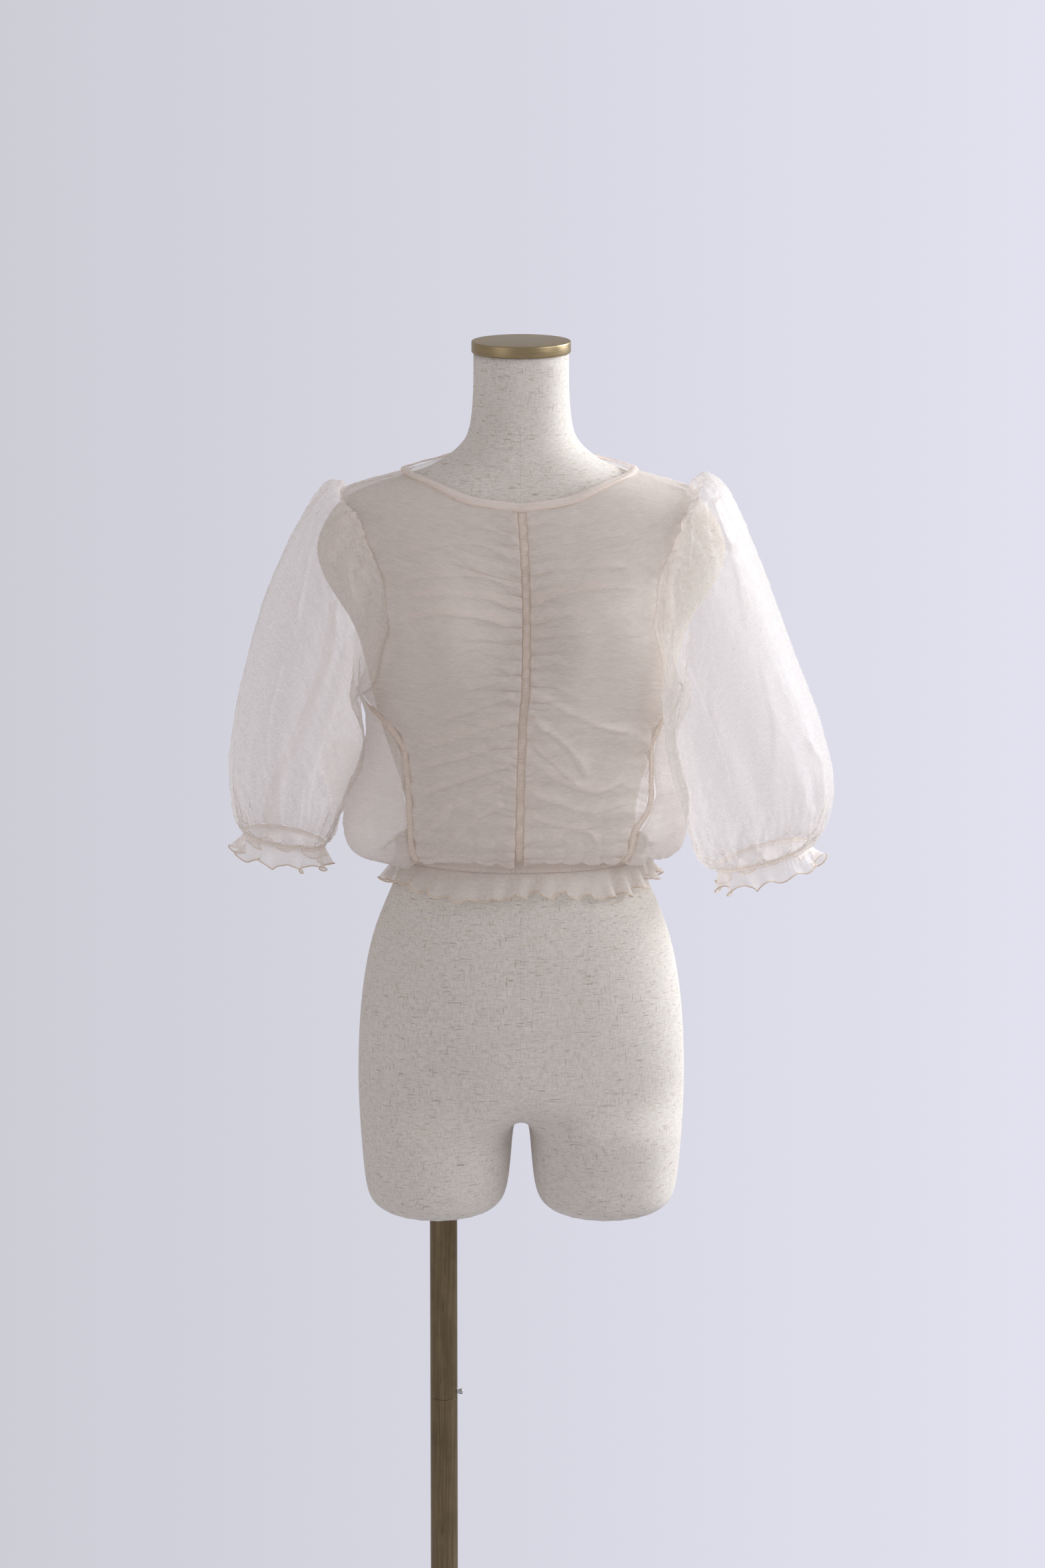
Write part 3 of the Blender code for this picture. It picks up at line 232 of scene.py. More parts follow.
def outer_sheet(node, middle):
    """Points, neighbours and rim loops of the sheet that looks away from middle(z)."""
    bm = merged_copy(node)
    rim = [
        face for face in bm.faces
        if any(abs(edge.calc_length() - CAD_WALL) < WALL_TOLERANCE for edge in face.edges)
    ]
    bmesh.ops.delete(bm, geom=rim, context="FACES")
    best = None
    for group in connected(bm):
        faces = {face for vert in group for face in vert.link_faces}
        outward = 0.0
        for face in faces:
            centre = face.calc_center_median()
            outward += face.normal.dot(centre - middle(centre.z)) * face.calc_area()
        if best is None or outward > best[0]:
            best = (outward, group)
    verts = sorted(best[1], key=lambda vert: vert.index)
    number = {vert: i for i, vert in enumerate(verts)}
    points = [vert.co.copy() for vert in verts]
    near = [{number[edge.other_vert(vert)] for edge in vert.link_edges} for vert in verts]
    open_edges = [
        tuple(number[vert] for vert in edge.verts)
        for edge in bm.edges if edge.is_boundary and edge.verts[0] in number
    ]
    bm.free()
    return points, near, rim_loops(open_edges)


def rim_loops(edges):
    """Loops of point numbers from the open edges."""
    joined = {}
    for a, b in edges:
        joined.setdefault(a, []).append(b)
        joined.setdefault(b, []).append(a)
    loops = []
    left = set(joined)
    while left:
        start = min(left)
        loop = [start]
        left.discard(start)
        while True:
            ahead = [p for p in joined[loop[-1]] if p in left]
            if not ahead:
                break
            loop.append(ahead[0])
            left.discard(ahead[0])
        loops.append(loop)
    return loops


def next_row(row, first, near, used):
    """The row beside a row, found one point at a time, or None."""
    found = [first]
    for j in range(1, len(row)):
        options = [p for p in near[found[-1]] & near[row[j]] if p not in used and p not in found]
        if len(options) != 1:
            return None
        found.append(options[0])
    return found


def panel_grid(node, rows, columns):
    """Rows of points of an open panel that wraps the form, waist first."""
    points, near, loops = outer_sheet(node, lambda z: Vector((FORM_X, 0, z)))
    loop = max(loops, key=len)
    count = len(loop)

    def turn(i):
        before = (points[loop[i]] - points[loop[i - 1]]).normalized()
        after = (points[loop[(i + 1) % count]] - points[loop[i]]).normalized()
        return 1 - before.dot(after)

    turns = [turn(i) for i in range(count)]
    steps = (0, columns - 1, columns + rows - 2, 2 * columns + rows - 3)
    start = max(range(count), key=lambda i: sum(turns[(i + s) % count] for s in steps))
    loop = loop[start:] + loop[:start]
    grid = [loop[:columns]]
    used = set(grid[0])
    for i in range(1, rows):
        row = next_row(grid[-1], loop[-i], near, used)
        grid.append(row)
        used |= set(row)
    return np.array([[points[p] for p in row] for row in grid])


def ring_grid(node, rows):
    """Rings of points of a tube, from one open end to the other."""
    low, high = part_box(node)
    centre = (low + high) / 2
    points, near, loops = outer_sheet(node, lambda z: centre)
    grid = [loops[0]]
    used = set(grid[0])
    while len(grid) < rows:
        row = grid[-1]
        best = None
        for first in near[row[0]] - used:
            found = next_row(row, first, near, used)
            if found is None or found[0] not in near[found[-1]]:
                continue
            length = sum((points[a] - points[b]).length for a, b in zip(row, found))
            if best is None or length < best[0]:
                best = (length, found)
        grid.append(best[1])
        used |= set(best[1])
    return np.array([[points[p] for p in row] for row in grid])


# %% [markdown]
# ## Order, finer grids and normals
#
# The walk may start in any corner and go either way round, so each grid is turned until its
# rows and columns run as the piece is worn. A Catmull-Rom curve then passes through every
# point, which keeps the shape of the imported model, and leaves room between the points for
# folds.

# %% Grid tools


def panel_upright(grid, side):
    """Rows from the waist up, and columns from the centre front outwards."""
    if grid[0, :, 2].mean() > grid[-1, :, 2].mean():
        grid = grid[::-1]
    if side * (grid[:, -1, 0].mean() - grid[:, 0, 0].mean()) < 0:
        grid = grid[:, ::-1]
    return grid


def ring_upright(grid, top_first=True):
    """Rings from top to bottom, each from its side towards the front."""
    if (grid[0, :, 2].mean() < grid[-1, :, 2].mean()) == top_first:
        grid = grid[::-1]
    side = 1 if grid[:, :, 0].mean() > FORM_X else -1
    start = int(np.argmax(side * (grid[-1, :, 0] - FORM_X)))
    grid = np.roll(grid, -start, axis=1)
    quarter = grid.shape[1] // 4
    if grid[:, quarter, 1].mean() > grid[:, -quarter, 1].mean():
        grid = np.roll(grid[:, ::-1], 1, axis=1)
    return grid


def finer(points, times, closed=False):
    """More points along the first axis, on a smooth curve through the given ones."""
    count = len(points)
    spans = count if closed else count - 1
    place = np.arange(spans * times + (0 if closed else 1)) / times
    i = np.minimum(place.astype(int), spans - 1)
    t = (place - i).reshape(-1, *([1] * (points.ndim - 1)))
    if closed:
        a, b, c, d = (points[(i + k) % count] for k in (-1, 0, 1, 2))
    else:
        ends = np.concatenate([
            [2 * points[0] - points[1]],
            points,
            [2 * points[-1] - points[-2]],
        ])
        a, b, c, d = (ends[i + k] for k in (0, 1, 2, 3))
    return 0.5 * (
        2 * b + (c - a) * t + (2 * a - 5 * b + 4 * c - d) * t ** 2 + (3 * b - a - 3 * c + d) * t ** 3
    )


def finer_grid(grid, rows_times, columns_times, closed=False):
    grid = finer(grid, rows_times)
    return finer(grid.swapaxes(0, 1), columns_times, closed).swapaxes(0, 1)


def unit(vectors):
    return vectors / np.maximum(np.linalg.norm(vectors, axis=-1, keepdims=True), 1e-9)


def grid_normals(grid, closed, outward_from):
    """Unit normals that look away from a centre line given as x and y."""
    up = np.gradient(grid, axis=0)
    if closed:
        across = np.roll(grid, -1, axis=1) - np.roll(grid, 1, axis=1)
    else:
        across = np.gradient(grid, axis=1)
    normals = unit(np.cross(across, up))
    away = (normals[..., :2] * (grid[..., :2] - outward_from)).sum()
    return normals if away > 0 else -normals


def walked(grid, axis):
    """Distance along an axis of the grid from its first row or column, in metres."""
    steps = np.linalg.norm(np.diff(grid, axis=axis), axis=-1)
    total = np.cumsum(steps, axis=axis)
    start = np.zeros_like(np.take(total, [0], axis=axis))
    return np.concatenate([start, total], axis=axis)

# %% [markdown]
# ## Linen
#
# The form is covered in natural linen, pulled tight. Its yarns are thick and thin, and the
# thick ones, called slubs, show as short darker dashes both along and across. Two stretched
# noises in crossed directions give the yarns, and thresholded noise gives the slubs. The
# noise is stretched in object space: the form is upright, so its weft lies level.

# %% Material helper


class Shader:
    """A small helper that adds nodes to one material and links them."""

    def __init__(self, name):
        self.material = bpy.data.materials.new(name)
        self.material.use_nodes = True
        self.nodes = self.material.node_tree.nodes
        self.links = self.material.node_tree.links
        self.nodes.clear()
        self.output = self.nodes.new("ShaderNodeOutputMaterial")

    def add(self, kind, settings=None, **inputs):
        node = self.nodes.new("ShaderNode" + kind)
        for key, value in (settings or {}).items():
            setattr(node, key, value)
        for key, value in inputs.items():
            self.put(node, key.replace("_", " "), value)
        return node

    def put(self, node, socket, value):
        target = node.inputs[int(socket)] if socket.isdigit() else node.inputs[socket]
        if isinstance(value, bpy.types.NodeSocket):
            self.links.new(value, target)
        else:
            target.default_value = value

    def math(self, operation, a, b):
        node = self.add("Math", {"operation": operation})
        self.put(node, "0", a)
        self.put(node, "1", b)
        return node.outputs[0]

    def blend(self, factor, a, b):
        node = self.add("Mix", {"data_type": "RGBA"})
        self.put(node, "Factor", factor)
        self.put(node, "A", a)
        self.put(node, "B", b)
        return node.outputs["Result"]

    def ramp(self, value, low, high, out_low=0.0, out_high=1.0):
        node = self.add("MapRange", None, Value=value)
        node.inputs["From Min"].default_value = low
        node.inputs["From Max"].default_value = high
        node.inputs["To Min"].default_value = out_low
        node.inputs["To Max"].default_value = out_high
        return node.outputs[0]

    def noise(self, vector, scale, detail=2.0, roughness=0.5):
        node = self.add("TexNoise", None, Vector=vector, Scale=scale, Detail=detail, Roughness=roughness)
        return node.outputs["Fac"]

    def stretched(self, vector, scale):
        return self.add("Mapping", None, Vector=vector, Scale=scale).outputs[0]


# %% Linen material
LINEN = (0.745, 0.705, 0.655)
LINEN_SHADE = (0.600, 0.550, 0.495)
SLUB = (0.330, 0.225, 0.150)
SLUB_BLUE = (0.400, 0.430, 0.520)


def linen_material():
    s = Shader("linen_cover")
    place = s.add("TexCoord").outputs["Object"]
    weft = s.noise(s.stretched(place, (150, 150, 1500)), 1.0, 2.0)
    warp = s.noise(s.stretched(place, (1500, 1500, 130)), 1.0, 2.0)
    weave = s.math("MULTIPLY", s.math("ADD", weft, warp), 0.5)
    slub_weft = s.ramp(s.noise(s.stretched(place, (85, 85, 780)), 1.0, 1.5), 0.63, 0.73)
    slub_warp = s.ramp(s.noise(s.stretched(place, (820, 820, 95)), 1.0, 1.5), 0.64, 0.74)
    blue = s.ramp(s.noise(s.stretched(place, (120, 120, 900)), 1.0, 1.0), 0.66, 0.74)
    cloudy = s.noise(place, 18.0, 2.0)
    colour = s.blend(s.ramp(weave, 0.40, 0.60), (*LINEN_SHADE, 1), (*LINEN, 1))
    colour = s.blend(s.math("MULTIPLY", s.ramp(cloudy, 0.35, 0.75), 0.25), colour, (*LINEN_SHADE, 1))
    colour = s.blend(s.math("MULTIPLY", slub_weft, 0.55), colour, (*SLUB, 1))
    colour = s.blend(s.math("MULTIPLY", slub_warp, 0.55), colour, (*SLUB, 1))
    colour = s.blend(s.math("MULTIPLY", blue, 0.40), colour, (*SLUB_BLUE, 1))
    relief = s.math("ADD", weave, s.math("MULTIPLY", s.math("ADD", slub_weft, slub_warp), 0.25))
    bump = s.add("Bump", None, Strength=0.5, Distance=0.0004, Height=relief).outputs[0]
    shader = s.add("BsdfPrincipled", None, Base_Color=colour, Roughness=0.85, Normal=bump)
    shader.inputs["Sheen Weight"].default_value = 0.12
    shader.inputs["Specular IOR Level"].default_value = 0.2
    s.put(s.output, "Surface", shader.outputs[0])
    return s.material


linen = linen_material()
print("linen nodes:", len(linen.node_tree.nodes))

# %% [markdown]
# ## Form
#
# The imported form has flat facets. A copy of it is merged and its triangles are paired back
# into four-sided faces, because a Subdivision Surface rounds those evenly. The neck's top
# edge is creased so that it stays sharp under the cap. The form comes before the cloth,
# because the cloth asks it how far it may sink.

# %% Form
SHARP_RIM = 0.0005


def dress(piece, slot, *nodes):
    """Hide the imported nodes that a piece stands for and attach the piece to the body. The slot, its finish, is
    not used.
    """
    if nodes:
        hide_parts(*nodes)
    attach(piece, BODY)
    return piece


def linked(name, mesh):
    piece = bpy.data.objects.new(name, mesh)
    bpy.context.scene.collection.objects.link(piece)
    return piece


def form_piece():
    bm = merged_copy("form")
    top = max(vert.co.z for vert in bm.verts)
    lid = [face for face in bm.faces if all(vert.co.z > top - SHARP_RIM for vert in face.verts)]
    bmesh.ops.dissolve_faces(bm, faces=lid)
    bottom = min(vert.co.z for vert in bm.verts)
    for side in (1, -1):
        foot = [
            face for face in bm.faces
            if all(vert.co.z < bottom + SHARP_RIM for vert in face.verts)
            and side * (face.calc_center_median().x - FORM_X) > 0
        ]
        bmesh.ops.dissolve_faces(bm, faces=foot)
    bmesh.ops.join_triangles(
        bm, faces=[face for face in bm.faces if len(face.verts) == 3],
        angle_face_threshold=math.radians(50), angle_shape_threshold=math.radians(60),
    )
    crease = bm.edges.layers.float.new("crease_edge")
    for edge in bm.edges:
        if all(vert.co.z > top - SHARP_RIM for vert in edge.verts):
            edge[crease] = 1.0
        elif all(vert.co.z < bottom + SHARP_RIM for vert in edge.verts):
            edge[crease] = 0.55
    mesh = bpy.data.meshes.new("form_linen")
    bm.to_mesh(mesh)
    bm.free()
    mesh.materials.append(linen)
    mesh.shade_smooth()
    piece = linked("form_linen", mesh)
    rounded = piece.modifiers.new("rounded", "SUBSURF")
    rounded.levels = 2
    rounded.render_levels = 2
    return piece


form = form_piece()
form_tree = BVHTree.FromObject(form, bpy.context.evaluated_depsgraph_get())
dress(form, "linen", "form")
print("form faces before rounding:", len(form.data.polygons))

# %% [markdown]
# ## Folds, gathers and crumple as heights
#
# Everything that lifts the cloth off its smooth shape is a height along the normal. A
# gather is a run of rounded ridges with sharp valleys, like cloth pushed together on a
# thread. Its phase wanders with a smooth noise, so that no two are alike, and it fades away
# from the seam that draws it in. Crumple is ridged noise stretched along the crinkle.

# %% Noise, gathers and crumple


def lattice(i, j, seed):
    """A fixed number from -1 to 1 for each lattice point."""
    value = np.sin(i * 127.1 + j * 311.7 + seed * 74.7) * 43758.5453
    return (value - np.floor(value)) * 2 - 1


def smooth_noise(u, v, seed):
    """Smooth noise from -1 to 1, one cell across for each unit."""
    i, j = np.floor(u), np.floor(v)
    s, t = u - i, v - j
    s = s * s * (3 - 2 * s)
    t = t * t * (3 - 2 * t)
    low = lattice(i, j, seed) * (1 - s) + lattice(i + 1, j, seed) * s
    high = lattice(i, j + 1, seed) * (1 - s) + lattice(i + 1, j + 1, seed) * s
    return low * (1 - t) + high * t


def gathers(along, away, pitch, reach, seed, wander=0.55):
    """Ridges a pitch apart along a seam, from 0 to about 1, which fade over a reach."""
    shift = smooth_noise(away / 0.030, along / (2.2 * pitch), seed) * wander
    shift += smooth_noise(away / 0.012 + 9, along / (5 * pitch), seed + 3) * wander * 0.6
    ridge = np.abs(np.sin(math.pi * (along / pitch + shift))) ** 0.8
    depth = 0.65 + 0.5 * smooth_noise(along / (3.1 * pitch), away / 0.05, seed + 7)
    return ridge * depth * np.exp(-((away / reach) ** 1.4))


def crumple(u, v, size_u, size_v, seed):
    """Small sharp creases stretched along u, from about -0.5 to 0.5."""
    bend = smooth_noise(u / (2 * size_u), v / (4 * size_v), seed + 11) * 0.9
    first = 1 - 2 * np.abs(smooth_noise(u / size_u, v / size_v + bend, seed))
    second = 1 - 2 * np.abs(smooth_noise(u / size_u * 1.9 + 5, v / size_v * 2.1, seed + 1))
    return (0.65 * first + 0.35 * second) * 0.5


def smoothstep(low, high, x):
    t = np.clip((x - low) / (high - low), 0, 1)
    return t * t * (3 - 2 * t)


gather_test = gathers(*np.mgrid[0:0.1:80j, 0:0.02:20j], 0.007, 0.03, 1)
print("gathers run from", gather_test.min().round(2), "to", gather_test.max().round(2))

# %% [markdown]
# ## Folds placed one by one
#
# The main folds are drawn, not random. Each is a bent line as the camera sees it, in metres
# from the form's middle and from the floor. The cloth laps over itself above the line, so
# the height falls softly on that side and sharply on the other, and the lap lets less light
# through. A patch is an area where the cloth lies double, with crisp edges.

# %% Folds and patches
FOLD_EDGE = 0.0014


def run_distance(x, z, run):
    """Distance to a bent line, the share of its length at the nearest point, and the side."""
    lengths = [math.dist(a, b) for a, b in zip(run, run[1:])]
    nearest = np.full(np.shape(x), 9.0)
    share = np.zeros(np.shape(x))
    side = np.zeros(np.shape(x))
    passed = 0.0
    for (a, b), length in zip(zip(run, run[1:]), lengths):
        dx, dz = (b[0] - a[0]) / length, (b[1] - a[1]) / length
        along = np.clip((x - a[0]) * dx + (z - a[1]) * dz, 0, length)
        distance = np.hypot(x - a[0] - along * dx, z - a[1] - along * dz)
        closer = distance < nearest
        nearest = np.where(closer, distance, nearest)
        share = np.where(closer, (passed + along) / sum(lengths), share)
        cross = (x - a[0]) * dz - (z - a[1]) * dx
        side = np.where(closer, np.sign(cross), side)
        passed += length
    return nearest, share, side


def rounded_run(run, steps=5):
    """The same run with a smooth curve through its points."""
    return [tuple(point) for point in finer(np.array(run), steps)]


def folds(x, z, table):
    """Lift and cover of a table of folds: run, height, width of the lap, cover of the lap."""
    lift = np.zeros(np.shape(x))
    cover = np.zeros(np.shape(x))
    for run, height, width, shade in table:
        distance, share, side = run_distance(x, z, rounded_run(run))
        side = side * math.copysign(1, (run[0][0] - run[-1][0]) * width)
        lap = abs(width) * (1 + 0.25 * np.sin(share * 17 + height * 4000))
        ends = smoothstep(0, 0.10, share) * smoothstep(1.0, 0.80, share)
        soft = np.exp(-((distance / lap) ** 2))
        sharp = np.exp(-((distance / FOLD_EDGE) ** 2))
        lift += height * np.where(side > 0, soft, sharp) * ends
        inside = smoothstep(1.3 * lap, 0.6 * lap, distance) * (side > 0)
        cover += shade * inside * ends
    return lift, cover


def patches(x, z, table, edge=0.0012):
    """Cover of areas with crisp edges: each an outline and its cover."""
    cover = np.zeros(np.shape(x))
    for outline, shade in table:
        outline = rounded_run([*outline, outline[0]], 4)
        distance, _, _ = run_distance(x, z, outline)
        inside = np.zeros(np.shape(x), bool)
        for (ax, az), (bx, bz) in zip(outline, outline[1:]):
            if az != bz:
                crossing = ax + (z - az) * (bx - ax) / (bz - az)
                inside ^= ((az > z) != (bz > z)) & (x < crossing)
        signed = np.where(inside, distance, -distance)
        cover += shade * smoothstep(-edge, edge, signed)
    return cover


# %% [markdown]
# Cloth may swell away from the form as it likes, but it may not sink into it. So a height
# below zero is cut off where the cloth would touch the linen.

# %% Staying off the form
FORM_CLEARANCE = 0.0007


def off_form(grid, normals, lift):
    """The lift, held back where it would push the cloth into the form."""
    places = (grid + normals * lift[..., None]).reshape(-1, 3)
    room = np.empty(len(places))
    for k, point in enumerate(places):
        near, normal, _, distance = form_tree.find_nearest(Vector(point))
        outside = (Vector(point) - near).dot(normal) > 0
        room[k] = distance if outside else -distance
    short = np.maximum(FORM_CLEARANCE - room.reshape(lift.shape), 0)
    return lift + short


# %% [markdown]
# ## Organza
#
# Organza is a very open plain weave of fine, stiff yarn. Part of the light passes straight
# through, part is scattered forwards, and the rest comes back with a soft sheen. So the
# shader mixes a transparent share with a principled one and a translucent one. Where the
# cloth is doubled or gathered tight, more yarn lies in the way: the attribute "cover" on
# each piece says how much. Cover also carries painted shade: it is raised in the valleys of
# the gathers and lowered on their ridges, which paints the valleys darker, tanner and less
# clear. The weave crinkles in fine broken lines along the U direction.

# %% Organza material
ORGANZA = (0.945, 0.910, 0.885)
# The tan of dense, doubled cloth, also used as painted shade in the valleys of gathers.
ORGANZA_DENSE_AND_SHADE = (0.915, 0.815, 0.755)
LIGHT_THROUGH = (0.997, 0.990, 0.984)


def organza(name, open_share, dense_share, crinkle_depth):
    """Sheer cloth that shows open_share of what is behind it, and less where it is gathered, with painted shade
    in the valleys of the gathers.
    """
    s = Shader(name)
    cloth = s.add("UVMap", {"uv_map": "cloth"}).outputs[0]
    cover = s.add("Attribute", {"attribute_name": "cover"}).outputs["Fac"]
    fine = s.noise(s.stretched(cloth, (130, 620, 1)), 1.0, 3.0, 0.62)
    broad = s.noise(s.stretched(cloth, (45, 170, 1)), 1.0, 2.0)
    yarn = s.noise(s.stretched(cloth, (1900, 900, 1)), 1.0, 1.0)
    crinkle = s.math("ADD", s.math("MULTIPLY", fine, 0.6), s.math("MULTIPLY", broad, 0.4))
    streak = s.ramp(crinkle, 0.36, 0.64, -0.06, 0.06)
    grain = s.ramp(yarn, 0.3, 0.7, -0.04, 0.04)
    # Cover hides more of what is behind: the real density of gathered or doubled cloth, and painted shade in
    # gather valleys.
    layers = s.ramp(cover, 0.0, 1.0, 1 - open_share, 1 - dense_share)
    shown = s.math("ADD", layers, s.math("ADD", streak, grain))
    shown = s.add("Clamp", None, Value=shown).outputs[0]
    # Denser cloth and painted shade: the colour turns tan where cover is high.
    colour = s.blend(s.ramp(cover, 0.10, 0.95), (*ORGANZA, 1), (*ORGANZA_DENSE_AND_SHADE, 1))
    bump = s.add("Bump", None, Strength=0.8, Distance=crinkle_depth, Height=crinkle).outputs[0]
    front = s.add("BsdfPrincipled", None, Base_Color=colour, Roughness=0.42, Normal=bump)
    front.inputs["Specular IOR Level"].default_value = 0.45
    front.inputs["Sheen Weight"].default_value = 0.30
    front.inputs["Sheen Roughness"].default_value = 0.35
    front.inputs["Sheen Tint"].default_value = (1.0, 0.97, 0.93, 1)
    through = s.add("BsdfTranslucent", None, Color=colour, Normal=bump)
    body = s.add("MixShader", None)
    body.inputs[0].default_value = 0.45
    s.put(body, "1", front.outputs[0])
    s.put(body, "2", through.outputs[0])
    clear = s.add("BsdfTransparent", None, Color=(*LIGHT_THROUGH, 1))
    mix = s.add("MixShader", None)
    s.put(mix, "0", shown)
    s.put(mix, "1", clear.outputs[0])
    s.put(mix, "2", body.outputs[0])
    s.put(s.output, "Surface", mix.outputs[0])
    return s.material


sleeve_organza = organza("sleeve_organza", 0.80, 0.45, 0.0009)
body_organza = organza("body_organza", 0.66, 0.28, 0.0006)
ruffle_organza = organza("ruffle_organza", 0.74, 0.35, 0.0004)
band_organza = organza("band_organza", 0.48, 0.18, 0.0003)
print("organza materials:", [m.name for m in bpy.data.materials if "organza" in m.name])

# %% [markdown]
# ## From grid to cloth
#
# A finished grid becomes faces, with a UV map in metres of cloth and the cover attribute.
# A Solidify modifier gives the sheet its thin wall on the inside, so that the outer side
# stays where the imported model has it.

# %% Cloth pieces
CLOTH_THICKNESS = 0.0003
SIDES = {"left": 1, "right": -1}


def closed_ring(grid):
    return np.concatenate([grid, grid[:, :1]], axis=1)


def cloth_piece(name, grid, normals, cover, material, closed=False):
    """A thin cloth shell with its outer side on the grid."""
    rows, columns = grid.shape[:2]
    spans = columns if closed else columns - 1
    i, j = np.divmod(np.arange((rows - 1) * spans), spans)
    n = (j + 1) % columns
    faces = np.stack([i * columns + j, i * columns + n, (i + 1) * columns + n, (i + 1) * columns + j], axis=1)
    corners = [(0, 0), (0, 1), (1, 1), (1, 0)]
    points = grid.reshape(-1, 3)
    a, b, c = (points[faces[:, k]] for k in range(3))
    if (np.cross(b - a, c - b) * normals.reshape(-1, 3)[faces[:, 0]]).sum() < 0:
        faces = faces[:, ::-1]
        corners.reverse()
    mesh = bpy.data.meshes.new(name)
    mesh.from_pydata(points.tolist(), [], faces.tolist())
    ring = closed_ring(grid) if closed else grid
    u = walked(ring, 1)
    u = np.broadcast_to(u.max(axis=0) if closed else u.mean(axis=0), u.shape)
    v = walked(ring, 0)
    v = np.broadcast_to(v.mean(axis=1, keepdims=True), v.shape)
    uvs = np.zeros((len(faces), 4, 2), np.float32)
    for k, (down, along) in enumerate(corners):
        uvs[:, k, 0] = u[i + down, j + along]
        uvs[:, k, 1] = v[i + down, j + along]
    mesh.uv_layers.new(name="cloth").data.foreach_set("uv", uvs.ravel())
    attribute = mesh.attributes.new("cover", "FLOAT", "POINT")
    attribute.data.foreach_set("value", np.clip(cover, 0, 1).astype(np.float32).ravel())
    mesh.materials.append(material)
    mesh.shade_smooth()
    piece = linked(name, mesh)
    wall = piece.modifiers.new("wall", "SOLIDIFY")
    wall.thickness = CLOTH_THICKNESS
    wall.offset = -1
    wall.use_rim = True
    return piece


def inside_seams(grid, rows_share, columns_share):
    """One inside a panel and zero along its sewn edges."""
    share = np.linspace(0, 1, grid.shape[0])[:, None]
    mask = smoothstep(0, rows_share, share) * smoothstep(1, 1 - rows_share, share)
    if columns_share:
        column = np.linspace(0, 1, grid.shape[1])[None, :]
        mask = mask * smoothstep(0, columns_share, column) * smoothstep(1, 1 - columns_share, column)
    return mask


# %% [markdown]
# ## Fronts
#
# Each front is drawn in along three seams: the centre strip, the side strip and the lower
# armhole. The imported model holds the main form. Here the ruching is added in three sizes,
# from fine puckers at the stitching to broad soft drapes, and the folds that the
# photograph shows between them are placed one by one. Above the waist the cloth bags over
# the elastic in uneven pleats.

